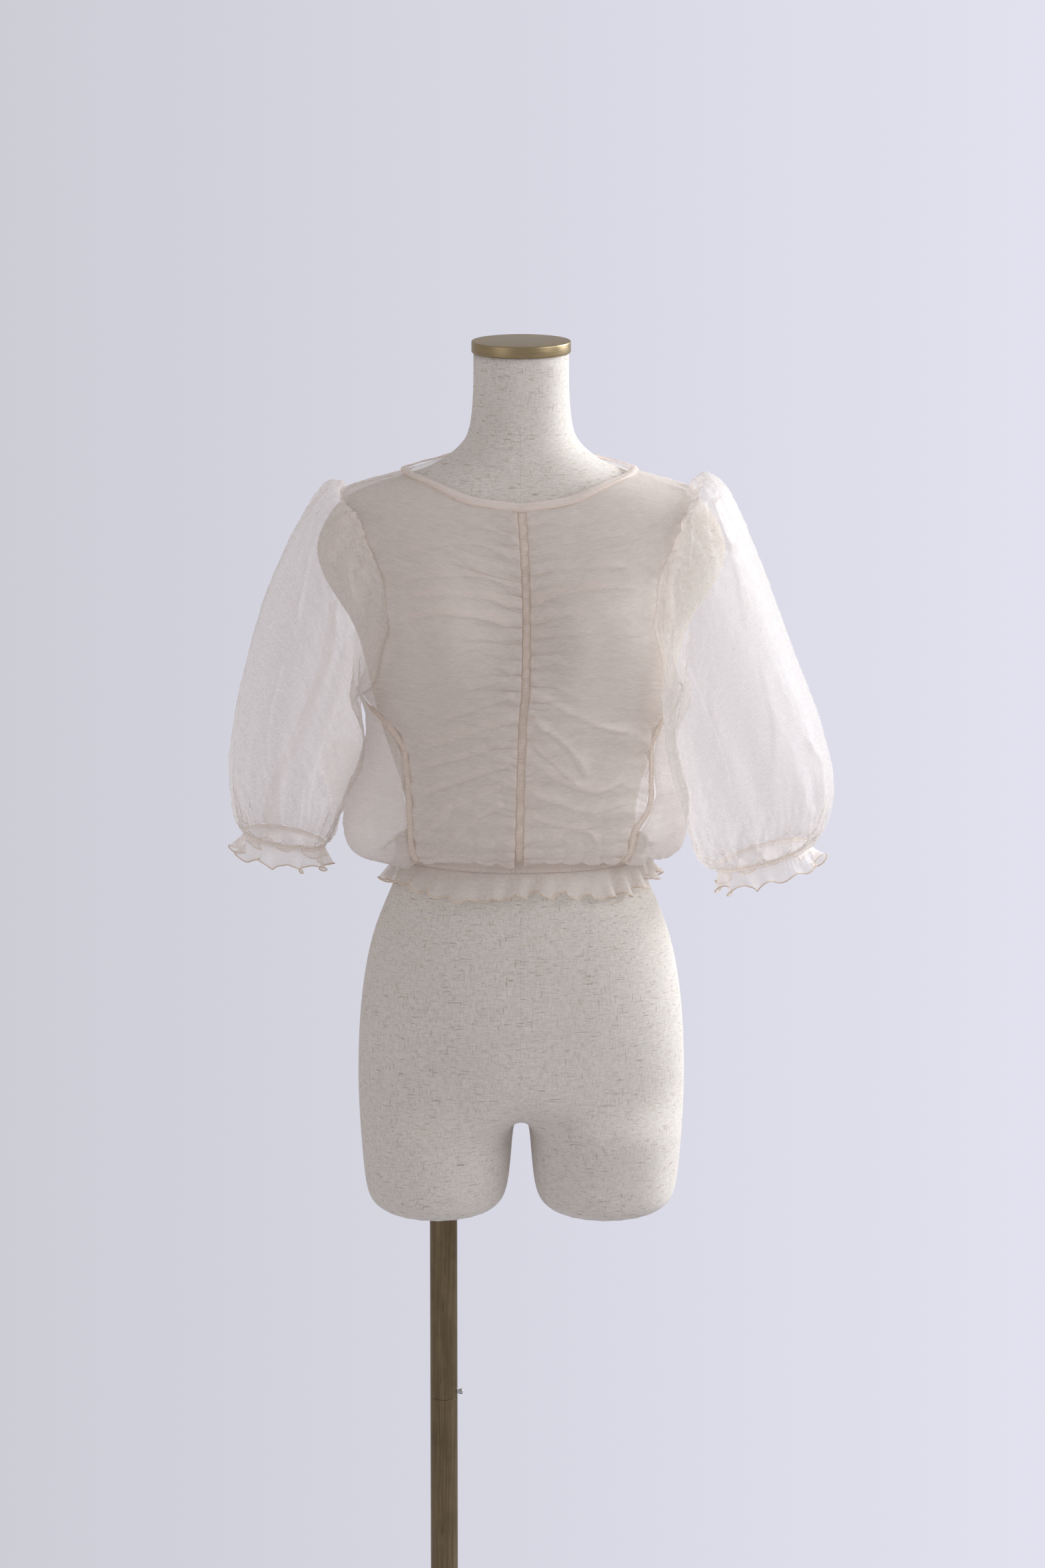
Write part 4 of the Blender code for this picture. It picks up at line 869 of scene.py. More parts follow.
# %% Fronts
FRONT_ROWS = 69
FRONT_COLUMNS = 7
FRONT_FOLDS = {
    "right": [
        ([(-0.004, 1.322), (-0.034, 1.340), (-0.060, 1.350)], 0.0016, 0.0050, 0.10),
        ([(-0.004, 1.306), (-0.034, 1.318), (-0.066, 1.327)], 0.0020, 0.0060, 0.18),
        ([(-0.006, 1.290), (-0.050, 1.303), (-0.100, 1.296), (-0.138, 1.281)], 0.0022, 0.0070, 0.18),
        ([(-0.005, 1.268), (-0.040, 1.280), (-0.075, 1.290)], 0.0020, 0.0060, 0.14),
        ([(-0.006, 1.262), (-0.045, 1.274), (-0.095, 1.272), (-0.124, 1.262)], 0.0022, 0.0060, 0.30),
        ([(-0.004, 1.243), (-0.040, 1.254), (-0.090, 1.256), (-0.122, 1.250)], 0.0024, 0.0070, 0.34),
        ([(-0.004, 1.226), (-0.050, 1.238), (-0.085, 1.240), (-0.123, 1.229)], 0.0026, 0.0065, 0.38),
        ([(-0.004, 1.207), (-0.030, 1.214), (-0.056, 1.214)], 0.0018, 0.0055, 0.12),
        ([(-0.004, 1.178), (-0.035, 1.168), (-0.070, 1.160)], 0.0018, 0.0060, 0.12),
        ([(-0.003, 1.160), (-0.040, 1.145), (-0.085, 1.128)], 0.0020, 0.0060, 0.14),
        ([(-0.006, 1.134), (-0.045, 1.121), (-0.102, 1.098)], 0.0026, 0.0075, 0.30),
        ([(-0.008, 1.112), (-0.050, 1.098), (-0.110, 1.077)], 0.0022, 0.0060, 0.28),
        ([(-0.008, 1.092), (-0.050, 1.075), (-0.105, 1.052)], 0.0022, 0.0060, 0.26),
        ([(-0.010, 1.072), (-0.040, 1.056), (-0.078, 1.040)], 0.0020, 0.0060, 0.22),
        ([(-0.014, 1.050), (-0.034, 1.040), (-0.058, 1.020), (-0.066, 1.006)], 0.0030, 0.0060, 0.30),
        ([(-0.066, 1.048), (-0.080, 1.028), (-0.098, 1.010)], 0.0030, 0.0060, 0.26),
    ],
    "left": [
        ([(0.006, 1.318), (0.034, 1.330), (0.060, 1.330)], 0.0018, 0.0060, 0.12),
        ([(0.010, 1.300), (0.060, 1.306), (0.108, 1.312)], 0.0022, 0.0070, 0.14),
        ([(0.010, 1.276), (0.060, 1.282), (0.112, 1.281)], 0.0022, 0.0065, 0.20),
        ([(0.008, 1.246), (0.036, 1.256), (0.070, 1.262), (0.116, 1.262)], 0.0026, 0.0075, 0.38),
        ([(0.008, 1.228), (0.036, 1.238), (0.072, 1.240)], 0.0022, 0.0060, 0.22),
        ([(0.010, 1.216), (0.046, 1.220), (0.080, 1.226)], 0.0020, 0.0060, 0.12),
        ([(0.010, 1.196), (0.040, 1.190), (0.070, 1.180)], 0.0018, 0.0060, 0.10),
        ([(0.008, 1.172), (0.040, 1.164), (0.066, 1.150)], 0.0020, 0.0060, 0.12),
        ([(0.010, 1.158), (0.050, 1.138), (0.080, 1.122), (0.116, 1.112)], 0.0028, 0.0070, 0.22),
        ([(0.006, 1.134), (0.030, 1.118), (0.052, 1.094), (0.064, 1.070)], 0.0034, 0.0060, 0.10),
        ([(0.008, 1.112), (0.036, 1.086), (0.060, 1.062)], 0.0020, 0.0055, 0.30),
        ([(0.008, 1.094), (0.040, 1.072), (0.072, 1.060), (0.108, 1.070)], 0.0026, 0.0065, 0.24),
        ([(0.006, 1.062), (0.036, 1.050), (0.070, 1.040), (0.108, 1.048)], 0.0024, 0.0060, 0.22),
        ([(0.006, 1.040), (0.030, 1.030), (0.060, 1.026), (0.080, 1.030)], 0.0022, 0.0055, 0.20),
        ([(0.030, 1.006), (0.044, 1.022), (0.064, 1.020), (0.076, 1.004)], 0.0030, 0.0060, 0.24),
    ],
}
RUCHING = ((0.0048, 0.010, 0.0009), (0.0084, 0.028, 0.0019), (0.0170, 0.075, 0.0024))
RUCHING_EDGE = ((0.0056, 0.012, 0.0010), (0.0098, 0.030, 0.0018))
BLOUSE = ((0.0080, 0.016, 0.0018), (0.0205, 0.045, 0.0050))


def ruching(along, away, sizes, seed):
    """Gathers of several sizes added up: each size is a pitch, a reach and a height."""
    return sum(height * gathers(along, away, pitch, reach, seed + 13 * n)
               for n, (pitch, reach, height) in enumerate(sizes))


def front_cloth(word, side):
    grid = panel_upright(panel_grid(f"front_{word}", FRONT_ROWS, FRONT_COLUMNS), side)
    grid = finer_grid(grid, 6, 11)
    normals = grid_normals(grid, False, (FORM_X, 0))
    from_centre = walked(grid, 1)
    from_edge = from_centre[:, -1:] - from_centre
    up = walked(grid, 0)
    height_up = np.broadcast_to(up[:, :1], up.shape)
    drawn, lapped = folds(grid[..., 0] - FORM_X, grid[..., 2], FRONT_FOLDS[word])
    middle = ruching(height_up, from_centre, RUCHING, 3 + side)
    armhole = ruching(up, from_edge, RUCHING_EDGE, 8 + side)
    waist = ruching(from_centre, height_up, BLOUSE, 15 + side)
    crisp = 0.0010 * crumple(from_centre, up, 0.030, 0.0046, 21 + side)
    lift = middle + armhole + waist + drawn + crisp
    lift = off_form(grid, normals, lift * inside_seams(grid, 0.02, 0.02))
    grid = grid + normals * lift[..., None]
    cover = 0.10 + 0.40 * np.exp(-from_centre / 0.009) + 0.30 * np.exp(-from_edge / 0.008)
    # Painted shade: cover is raised in the valleys of the centre and armhole gathers and lowered on their
    # ridges.
    cover = cover + 0.25 * np.exp(-height_up / 0.016) + lapped - 70 * (middle + armhole) + 0.10
    piece = cloth_piece(f"front_{word}_cloth", grid, normals, cover, body_organza)
    return dress(piece, "organza", f"front_{word}")


fronts = {word: front_cloth(word, side) for word, side in SIDES.items()}
print("front faces:", {word: len(piece.data.polygons) for word, piece in fronts.items()})

# %% [markdown]
# ## Back
#
# The back hangs plainer. It is gathered along the side strips and above the waist, and the
# blouse falls in soft uneven waves.

# %% Back
BACK_COLUMNS = 15
BACK_BLOUSE = ((0.0085, 0.018, 0.0018), (0.0230, 0.060, 0.0050))


def back_rows():
    """The back's number of rows, from the points on its outer sheet."""
    points, _, _ = outer_sheet("back", lambda z: Vector((FORM_X, 0, z)))
    return len(points) // BACK_COLUMNS


def back_cloth():
    grid = panel_upright(panel_grid("back", back_rows(), BACK_COLUMNS), -1)
    grid = finer_grid(grid, 4, 11)
    normals = grid_normals(grid, False, (FORM_X, 0))
    along = walked(grid, 1)
    from_side = np.minimum(along, along[:, -1:] - along)
    up = walked(grid, 0)
    edge = ruching(up, from_side, RUCHING_EDGE, 31)
    waist = ruching(along, up, BACK_BLOUSE, 33)
    drape = 0.0016 * gathers(up + 0.35 * np.abs(along - along[:, -1:] / 2), from_side * 0, 0.030, 1.0, 39)
    crisp = 0.0010 * crumple(along, up, 0.034, 0.0050, 35)
    waves = 0.0020 * smooth_noise(along / 0.045, up / 0.11, 37) * smoothstep(0.30, 0.10, up)
    lift = (edge + waist + drape + crisp + waves) * inside_seams(grid, 0.03, 0.015)
    lift = off_form(grid, normals, lift)
    grid = grid + normals * lift[..., None]
    # Painted shade: the edge term raises cover in the valleys of the side gathers and lowers it on their ridges.
    cover = 0.15 + 0.25 * np.exp(-from_side / 0.008) + 0.25 * np.exp(-up / 0.018) - 60 * edge
    piece = cloth_piece("back_cloth", grid, normals, cover, body_organza)
    return dress(piece, "organza", "back")


back = back_cloth()
print("back faces:", len(back.data.polygons))

# %% [markdown]
# ## Sleeves
#
# A balloon sleeve is a wide tube gathered on both ends. Its head is pleated into the
# armhole, and its cuff is drawn in by elastic. Between them the organza stands away from
# the arm, with broken horizontal crinkles and a few long soft creases. The two sleeves hang
# differently, so each has its own folds, drawn as seen from the front and from behind. Where
# a sleeve lies double behind its front, the patch is painted as cover.

# %% Sleeves
SLEEVE_ROWS = 11
SLEEVE_FRONT_FOLDS = {
    "right": [
        ([(-0.150, 1.336), (-0.166, 1.322), (-0.178, 1.300), (-0.182, 1.276)], 0.0050, 0.0060, 0.30),
        ([(-0.146, 1.320), (-0.160, 1.300), (-0.166, 1.270), (-0.158, 1.240)], 0.0045, 0.0070, 0.16),
        ([(-0.140, 1.296), (-0.150, 1.282), (-0.156, 1.262)], 0.0036, 0.0050, 0.24),
        ([(-0.145, 1.262), (-0.148, 1.225), (-0.152, 1.200), (-0.160, 1.160)], 0.0040, -0.0080, 0.10),
        ([(-0.176, 1.250), (-0.180, 1.205), (-0.197, 1.155), (-0.226, 1.105), (-0.238, 1.050)],
         0.0034, 0.0080, 0.0),
        ([(-0.160, 1.200), (-0.180, 1.150), (-0.188, 1.100), (-0.183, 1.060)], 0.0030, 0.0080, 0.0),
        ([(-0.226, 1.016), (-0.220, 1.040), (-0.226, 1.060)], 0.0040, 0.0050, 0.20),
        ([(-0.186, 0.996), (-0.178, 1.020), (-0.186, 1.050)], 0.0040, 0.0060, 0.20),
        ([(-0.206, 0.992), (-0.204, 1.016), (-0.212, 1.040)], 0.0036, -0.0060, 0.16),
        ([(-0.250, 1.000), (-0.246, 1.020), (-0.254, 1.040)], 0.0036, 0.0050, 0.16),
        ([(-0.264, 1.196), (-0.246, 1.182), (-0.230, 1.162)], 0.0014, 0.0040, 0.05),
    ],
    "left": [
        ([(0.184, 1.340), (0.188, 1.322), (0.197, 1.302), (0.208, 1.290)], 0.0050, 0.0070, 0.16),
        ([(0.178, 1.340), (0.180, 1.318), (0.186, 1.300)], 0.0030, -0.0060, 0.08),
        ([(0.150, 1.326), (0.142, 1.300), (0.140, 1.262)], 0.0040, 0.0080, 0.05),
        ([(0.166, 1.330), (0.164, 1.300), (0.160, 1.270)], 0.0030, 0.0070, 0.05),
        ([(0.186, 1.190), (0.182, 1.150), (0.190, 1.112)], 0.0022, -0.0060, 0.0),
        ([(0.276, 1.108), (0.293, 1.080), (0.296, 1.053), (0.290, 1.003)], 0.0022, 0.0050, 0.10),
        ([(0.216, 0.986), (0.214, 1.010), (0.222, 1.034)], 0.0036, 0.0060, 0.12),
        ([(0.236, 0.990), (0.238, 1.020), (0.250, 1.044)], 0.0036, 0.0060, 0.12),
        ([(0.262, 0.996), (0.262, 1.020), (0.272, 1.040)], 0.0040, 0.0060, 0.14),
        ([(0.280, 1.002), (0.280, 1.022), (0.286, 1.040)], 0.0034, -0.0050, 0.12),
    ],
}
SLEEVE_PATCHES = {
    "right": [
        ([(-0.186, 1.245), (-0.190, 1.214), (-0.199, 1.176), (-0.212, 1.142), (-0.226, 1.106),
          (-0.240, 1.080), (-0.249, 1.052), (-0.249, 1.008), (-0.238, 1.008), (-0.236, 1.060),
          (-0.221, 1.095), (-0.204, 1.130), (-0.192, 1.165), (-0.181, 1.205), (-0.178, 1.245)], 0.34),
        ([(-0.165, 1.217), (-0.181, 1.184), (-0.191, 1.132), (-0.195, 1.078), (-0.185, 1.047), (-0.191, 1.013),
          (-0.150, 1.013), (-0.120, 1.100), (-0.130, 1.217)], 0.22),
        ([(-0.193, 1.080), (-0.188, 1.104), (-0.172, 1.112), (-0.160, 1.100), (-0.156, 1.070), (-0.168, 1.044),
          (-0.184, 1.046)], 0.20),
        ([(-0.184, 1.330), (-0.196, 1.300), (-0.190, 1.270), (-0.170, 1.240), (-0.150, 1.240),
          (-0.140, 1.330)], 0.12),
    ],
    "left": [
        ([(0.126, 1.330), (0.128, 1.240), (0.134, 1.160), (0.150, 1.100), (0.172, 1.050), (0.172, 1.090),
          (0.160, 1.160), (0.156, 1.250), (0.160, 1.330)], 0.16),
        ([(0.186, 1.345), (0.206, 1.340), (0.222, 1.300), (0.224, 1.282), (0.210, 1.290), (0.196, 1.312)], 0.20),
    ],
}
SLEEVE_BACK_FOLDS = [
    ([(0.170, 1.320), (0.180, 1.270), (0.176, 1.220)], 0.0036, 0.0080, 0.12),
    ([(0.195, 1.310), (0.212, 1.250), (0.226, 1.180)], 0.0034, 0.0080, 0.10),
    ([(0.160, 1.180), (0.182, 1.120), (0.205, 1.060), (0.215, 1.010)], 0.0032, 0.0090, 0.10),
    ([(0.236, 1.160), (0.252, 1.090), (0.250, 1.030)], 0.0032, 0.0090, 0.08),
    ([(0.190, 1.000), (0.196, 1.030), (0.206, 1.050)], 0.0036, 0.0060, 0.14),
]
SLEEVE_HEAD = ((0.0062, 0.016, 0.0016), (0.0150, 0.060, 0.0042))
SLEEVE_CUFF = ((0.0058, 0.014, 0.0016), (0.0150, 0.050, 0.0042))


def sleeve_cloth(word, side):
    grid = ring_upright(ring_grid(f"sleeve_{word}", SLEEVE_ROWS))
    grid = finer_grid(grid, 13, 8, closed=True)
    normals = grid_normals(grid, True, grid[..., :2].mean(axis=(0, 1)))
    around = walked(closed_ring(grid), 1)[:, :-1]
    girth = np.broadcast_to(around.mean(axis=0), around.shape)
    down = walked(grid, 0)
    up = down[-1:] - down
    x = grid[..., 0] - FORM_X
    z = grid[..., 2]
    turn = np.linspace(0, 2 * math.pi, grid.shape[1], endpoint=False)[None, :]
    upper = 0.35 + 0.65 * (0.5 + 0.5 * np.cos(turn))
    head = ruching(girth, down, SLEEVE_HEAD, 41 + side) * upper
    cuff = ruching(girth, up, SLEEVE_CUFF, 45 + side)
    crisp = 0.0014 * crumple(girth, down, 0.024, 0.0048, 49 + side)
    band = smoothstep(-0.15, 0.45, smooth_noise(girth / 0.075, down / 0.16, 53 + side))
    crisp += 0.0022 * crumple(girth, down, 0.011, 0.0090, 55 + side) * band
    facing = smoothstep(-0.15, 0.35, -normals[..., 1])
    behind = smoothstep(-0.15, 0.35, normals[..., 1])
    front_lift, front_cover = folds(x, z, SLEEVE_FRONT_FOLDS[word])
    mirrored = [([(side * a, b) for a, b in run], *rest) for run, *rest in SLEEVE_BACK_FOLDS]
    back_lift, back_cover = folds(x, z, mirrored)
    lift = head + cuff + crisp + front_lift * facing + back_lift * behind
    grid = grid + normals * (lift * inside_seams(grid, 0.02, 0))[..., None]
    cover = 0.05 + 0.30 * np.exp(-down / 0.012) + 0.30 * np.exp(-up / 0.010)
    # Painted shade: the head and cuff terms raise cover in the valleys of the gathers and lower it on their
    # ridges.
    cover = cover + front_cover * facing + back_cover * behind - 30 * (head + cuff)
    cover = cover + patches(x, z, SLEEVE_PATCHES[word]) * (normals[..., 1] < 0.1)
    piece = cloth_piece(f"sleeve_{word}_cloth", grid, normals, cover, sleeve_organza, closed=True)
    return dress(piece, "organza", f"sleeve_{word}"), grid, normals


sleeves = {word: sleeve_cloth(word, side) for word, side in SIDES.items()}
print("sleeve faces:", {word: len(parts[0].data.polygons) for word, parts in sleeves.items()})

# %% [markdown]
# ## Bands and ruffles
#
# Elastic bands are cloth pushed together on elastic: dense little pleats across the band.
# The ruffles below them are cut much longer than the band. So they swing in and out in
# loops, which grow from nothing at the stitching to the full swing at the rolled edge.

# %% Bands and ruffles
bands = {}
ruffles = {}


def ring_parts(node, rows, rows_times, columns_times):
    """A fine ring grid with its normals, and its lengths around and down."""
    grid = finer_grid(ring_upright(ring_grid(node, rows)), rows_times, columns_times, closed=True)
    normals = grid_normals(grid, True, grid[..., :2].mean(axis=(0, 1)))
    around = walked(closed_ring(grid), 1)[:, :-1]
    return grid, normals, np.broadcast_to(around.mean(axis=0), around.shape), walked(grid, 0)


def band_cloth(name, node, rows_times, columns_times, pitch, height):
    grid, normals, girth, down = ring_parts(node, 2, rows_times, columns_times)
    lift = height * gathers(girth, down * 0, pitch, 1.0, 61 + len(bands), 0.4)
    grid = grid + normals * off_form(grid, normals, lift)[..., None]
    # Painted shade: cover rises in the valleys of the pleats and falls on their ridges.
    piece = cloth_piece(name, grid, normals, 0.60 - 160 * lift, band_organza, closed=True)
    bands[node] = (grid, normals)
    return dress(piece, "elastic_strip", node)


waist_band = band_cloth("waist_band_cloth", "waist_elastic", 8, 12, 0.0046, 0.0014)
cuff_bands = [
    band_cloth(f"cuff_band_{word}_cloth", f"cuff_elastic_{word}", 5, 12, 0.0038, 0.0010)
    for word in SIDES
]


def ruffle_cloth(name, node, columns_times, loop, swing, scallop, seed):
    grid, normals, girth, down = ring_parts(node, 3, 7, columns_times)
    drop = down / down[-1:]
    total = girth[0, -1] + girth[0, 1]
    loops = round(total / loop)
    wander = 0.30 * smooth_noise(girth / (2.3 * loop), girth * 0 + seed, seed)
    wander = wander * np.sin(math.pi * girth / total) ** 0.25
    phase = 2 * math.pi * (loops * girth / total + wander)
    uneven = 0.75 + 0.35 * smooth_noise(girth / (1.7 * loop) + 4, girth * 0, seed + 1)
    lift = swing * np.sin(phase + 0.5 * drop) * uneven * drop ** 1.2
    lift += 0.0012 * gathers(girth, down, 0.0052, 0.010, seed + 2) * smoothstep(0, 0.0015, down)
    lift += 0.0004 * crumple(girth, down, 0.012, 0.004, seed + 4) * drop
    lift = off_form(grid, normals, lift)
    grid = grid + normals * lift[..., None]
    grid[..., 2] += scallop * np.cos(phase + 0.6) * uneven * drop ** 2
    cover = 0.12 + 0.40 * np.exp(-down / 0.004) + 0.12 * np.abs(np.cos(phase)) * drop
    piece = cloth_piece(name, grid, normals, cover, ruffle_organza, closed=True)
    ruffles[node] = (grid, normals)
    return dress(piece, "organza_edge", node)


hem = ruffle_cloth("hem_ruffle_cloth", "hem_ruffle", 6, 0.024, 0.0050, 0.0028, 71)
cuff_ruffles = [
    ruffle_cloth(f"cuff_ruffle_{word}_cloth", f"cuff_ruffle_{word}", 8, 0.029, 0.0065, 0.0040, 75 + side)
    for word, side in SIDES.items()
]
print("bands:", sorted(bands), "ruffles:", sorted(ruffles))

# %% [markdown]
# ## Strips and neck binding
#
# The strips are narrow tapes under the gathers: the cloth puckers between their two rows of
# stitches. The neck binding is a narrow folded strip that rolls over the raw edge.

# %% Strips and binding
strips = {}


def strip_cloth(name, node, rows, seed):
    side = -1 if node.endswith("right") else 1
    grid = finer_grid(panel_upright(panel_grid(node, rows, 2), side), 6, 8)
    normals = grid_normals(grid, False, (FORM_X, 0))
    up = walked(grid, 0)
    across = np.linspace(-1, 1, grid.shape[1])[None, :]
    pucker = 0.0009 * gathers(up, up * 0, 0.0034, 1.0, seed, 0.3) * (1 - across ** 4)
    lift = off_form(grid, normals, pucker + 0.0005 * (1 - across ** 2) - 0.0002)
    grid = grid + normals * lift[..., None]
    # Painted shade: cover rises between the puckers and falls on their crests.
    piece = cloth_piece(name, grid, normals, 0.80 - 260 * pucker, band_organza)
    strips[node] = (grid, normals)
    return dress(piece, "elastic_strip", node)


centre_tape = strip_cloth("centre_strip_cloth", "centre_strip", FRONT_ROWS, 81)
side_tapes = [strip_cloth(f"side_strip_{word}_cloth", f"side_strip_{word}", 28, 83 + side)
              for word, side in SIDES.items()]


def binding_cloth():
    grid, normals, girth, _ = ring_parts("neck_binding", 2, 10, 8)
    across = np.linspace(-1, 1, grid.shape[0])[:, None]
    roll = 0.0009 * (1 - across ** 2)
    pucker = 0.0005 * gathers(girth, girth * 0, 0.0055, 1.0, 91, 0.6)
    twist = 0.0008 * smooth_noise(girth / 0.017, across * 1.2 + 3, 93)
    lift = off_form(grid, normals, roll + (pucker + twist) * (1 - across ** 4))
    grid = grid + normals * lift[..., None]
    # Painted shade: cover rises in the dips of the puckers and twist and falls on their crests; the denser
    # folded edge is real.
    cover = 0.45 - 90 * (pucker + twist) + 0.5 * smoothstep(0.3, 1.0, across)
    piece = cloth_piece("neck_binding_cloth", grid, normals, cover, band_organza, closed=True)
    return dress(piece, "organza", "neck_binding"), grid, normals


binding, binding_grid, binding_normals = binding_cloth()
print("strips:", sorted(strips))

# %% [markdown]
# ## Thread
#
# Stitches are real little threads here. One Geometry Nodes tree lays them along any path:
# it spaces points a pitch apart, turns a small bead to follow the path and to stand on the
# cloth, and slants every other one the other way. A second tree sweeps a round edge along a
# path, for the rolled hems of the ruffles. Both end as plain meshes.

# %% Thread material and trees
THREAD = (0.800, 0.700, 0.565)
EDGE_THREAD = (0.700, 0.560, 0.420)


def thread_material(name, colour):
    s = Shader(name)
    place = s.add("TexCoord").outputs["Object"]
    ply = s.noise(place, 900.0, 2.0)
    tone = s.blend(s.ramp(ply, 0.35, 0.65, 0.0, 0.35), (*colour, 1), (0.93, 0.88, 0.80, 1))
    bump = s.add("Bump", None, Strength=0.5, Distance=0.0001, Height=ply).outputs[0]
    shader = s.add("BsdfPrincipled", None, Base_Color=tone, Roughness=0.6, Normal=bump)
    shader.inputs["Sheen Weight"].default_value = 0.2
    s.put(s.output, "Surface", shader.outputs[0])
    return s.material


cream_thread = thread_material("cream_thread", THREAD)
tan_thread = thread_material("tan_thread", EDGE_THREAD)


def new_tree(name, inputs):
    tree = bpy.data.node_groups.new(name, "GeometryNodeTree")
    tree.interface.new_socket("Geometry", in_out="INPUT", socket_type="NodeSocketGeometry")
    for label, kind in inputs:
        tree.interface.new_socket(label, in_out="INPUT", socket_type="NodeSocket" + kind)
    tree.interface.new_socket("Geometry", in_out="OUTPUT", socket_type="NodeSocketGeometry")
    return tree


def node_in(tree, kind, settings=None, **inputs):
    """Add a node, set its properties, and set or link its inputs."""
    node = tree.nodes.new(kind)
    for key, value in (settings or {}).items():
        setattr(node, key, value)
    for key, value in inputs.items():
        target = node.inputs[key.replace("_", " ")]
        if isinstance(value, bpy.types.NodeSocket):
            tree.links.new(value, target)
        else:
            target.default_value = value
    return node


def calculate(tree, operation, a, b, kind="ShaderNodeMath"):
    node = tree.nodes.new(kind)
    node.operation = operation
    for k, value in enumerate((a, b)):
        if isinstance(value, bpy.types.NodeSocket):
            tree.links.new(value, node.inputs[k])
        else:
            node.inputs[k].default_value = value
    return node.outputs[0]


def stitch_tree():
    tree = new_tree("Stitch row", [
        ("Pitch", "Float"), ("Length", "Float"), ("Radius", "Float"), ("Slant", "Float"),
        ("Unevenness", "Float"), ("Lift", "Float"), ("Seed", "Int"), ("Material", "Material"),
    ])
    start = tree.nodes.new("NodeGroupInput").outputs
    curve = node_in(tree, "GeometryNodeMeshToCurve", None, Mesh=start["Geometry"]).outputs[0]
    spaced = node_in(tree, "GeometryNodeResampleCurve", {"mode": "LENGTH"}, Curve=curve, Length=start["Pitch"])
    outward = node_in(
        tree, "GeometryNodeInputNamedAttribute", {"data_type": "FLOAT_VECTOR"}, Name="outward",
    ).outputs["Attribute"]
    raised = node_in(tree, "ShaderNodeVectorMath", {"operation": "SCALE"}, Scale=start["Lift"])
    tree.links.new(outward, raised.inputs[0])
    moved = node_in(
        tree, "GeometryNodeSetPosition", None, Geometry=spaced.outputs[0], Offset=raised.outputs[0],
    ).outputs[0]
    tangent = tree.nodes.new("GeometryNodeInputTangent").outputs[0]
    stand = node_in(tree, "FunctionNodeAlignRotationToVector", {"axis": "Z"}, Vector=outward).outputs[0]
    follow = node_in(
        tree, "FunctionNodeAlignRotationToVector", {"axis": "X", "pivot_axis": "Z"},
        Rotation=stand, Vector=tangent,
    ).outputs[0]
    index = tree.nodes.new("GeometryNodeInputIndex").outputs[0]
    parity = calculate(tree, "MODULO", index, 2.0)
    swing = calculate(tree, "SUBTRACT", calculate(tree, "MULTIPLY", parity, 2.0), 1.0)
    chance = node_in(tree, "FunctionNodeRandomValue", {"data_type": "FLOAT"}, Seed=start["Seed"])
    chance.inputs[2].default_value = -1.0
    chance.inputs[3].default_value = 1.0
    stray = calculate(tree, "MULTIPLY", chance.outputs[1], start["Unevenness"])
    angle = calculate(tree, "ADD", calculate(tree, "MULTIPLY", swing, start["Slant"]), stray)
    euler = node_in(tree, "ShaderNodeCombineXYZ", None, Z=angle).outputs[0]
    slant = node_in(tree, "FunctionNodeEulerToRotation", None, Euler=euler).outputs[0]
    turned = node_in(
        tree, "FunctionNodeRotateRotation", {"rotation_space": "LOCAL"}, Rotation=follow, Rotate_By=slant,
    ).outputs[0]
    bead = node_in(tree, "GeometryNodeMeshUVSphere", None, Segments=6, Rings=4, Radius=1.0).outputs[0]
    half = calculate(tree, "MULTIPLY", start["Length"], 0.5)
    size = node_in(tree, "ShaderNodeCombineXYZ", None, X=half, Y=start["Radius"], Z=start["Radius"]).outputs[0]
    thread = node_in(tree, "GeometryNodeTransform", None, Geometry=bead, Scale=size).outputs[0]
    rows = node_in(
        tree, "GeometryNodeInstanceOnPoints", None, Points=moved, Instance=thread, Rotation=turned,
    ).outputs[0]
    real = node_in(tree, "GeometryNodeRealizeInstances", None, Geometry=rows).outputs[0]
    smooth = node_in(tree, "GeometryNodeSetShadeSmooth", None, Geometry=real).outputs[0]
    painted = node_in(
        tree, "GeometryNodeSetMaterial", None, Geometry=smooth, Material=start["Material"],
    ).outputs[0]
    node_in(tree, "NodeGroupOutput", None, Geometry=painted)
    return tree


def edge_tree():
    tree = new_tree("Rolled edge", [("Radius", "Float"), ("Lift", "Float"), ("Material", "Material")])
    start = tree.nodes.new("NodeGroupInput").outputs
    curve = node_in(tree, "GeometryNodeMeshToCurve", None, Mesh=start["Geometry"]).outputs[0]
    outward = node_in(
        tree, "GeometryNodeInputNamedAttribute", {"data_type": "FLOAT_VECTOR"}, Name="outward",
    ).outputs["Attribute"]
    raised = node_in(tree, "ShaderNodeVectorMath", {"operation": "SCALE"}, Scale=start["Lift"])
    tree.links.new(outward, raised.inputs[0])
    moved = node_in(
        tree, "GeometryNodeSetPosition", None, Geometry=curve, Offset=raised.outputs[0],
    ).outputs[0]
    ring = node_in(tree, "GeometryNodeCurvePrimitiveCircle", None, Resolution=8, Radius=start["Radius"])
    tube = node_in(
        tree, "GeometryNodeCurveToMesh", None, Curve=moved, Profile_Curve=ring.outputs[0], Fill_Caps=True,
    ).outputs[0]
    real = node_in(tree, "GeometryNodeRealizeInstances", None, Geometry=tube).outputs[0]
    smooth = node_in(tree, "GeometryNodeSetShadeSmooth", None, Geometry=real).outputs[0]
    painted = node_in(
        tree, "GeometryNodeSetMaterial", None, Geometry=smooth, Material=start["Material"],
    ).outputs[0]
    node_in(tree, "NodeGroupOutput", None, Geometry=painted)
    return tree


STITCHES = stitch_tree()
EDGES = edge_tree()


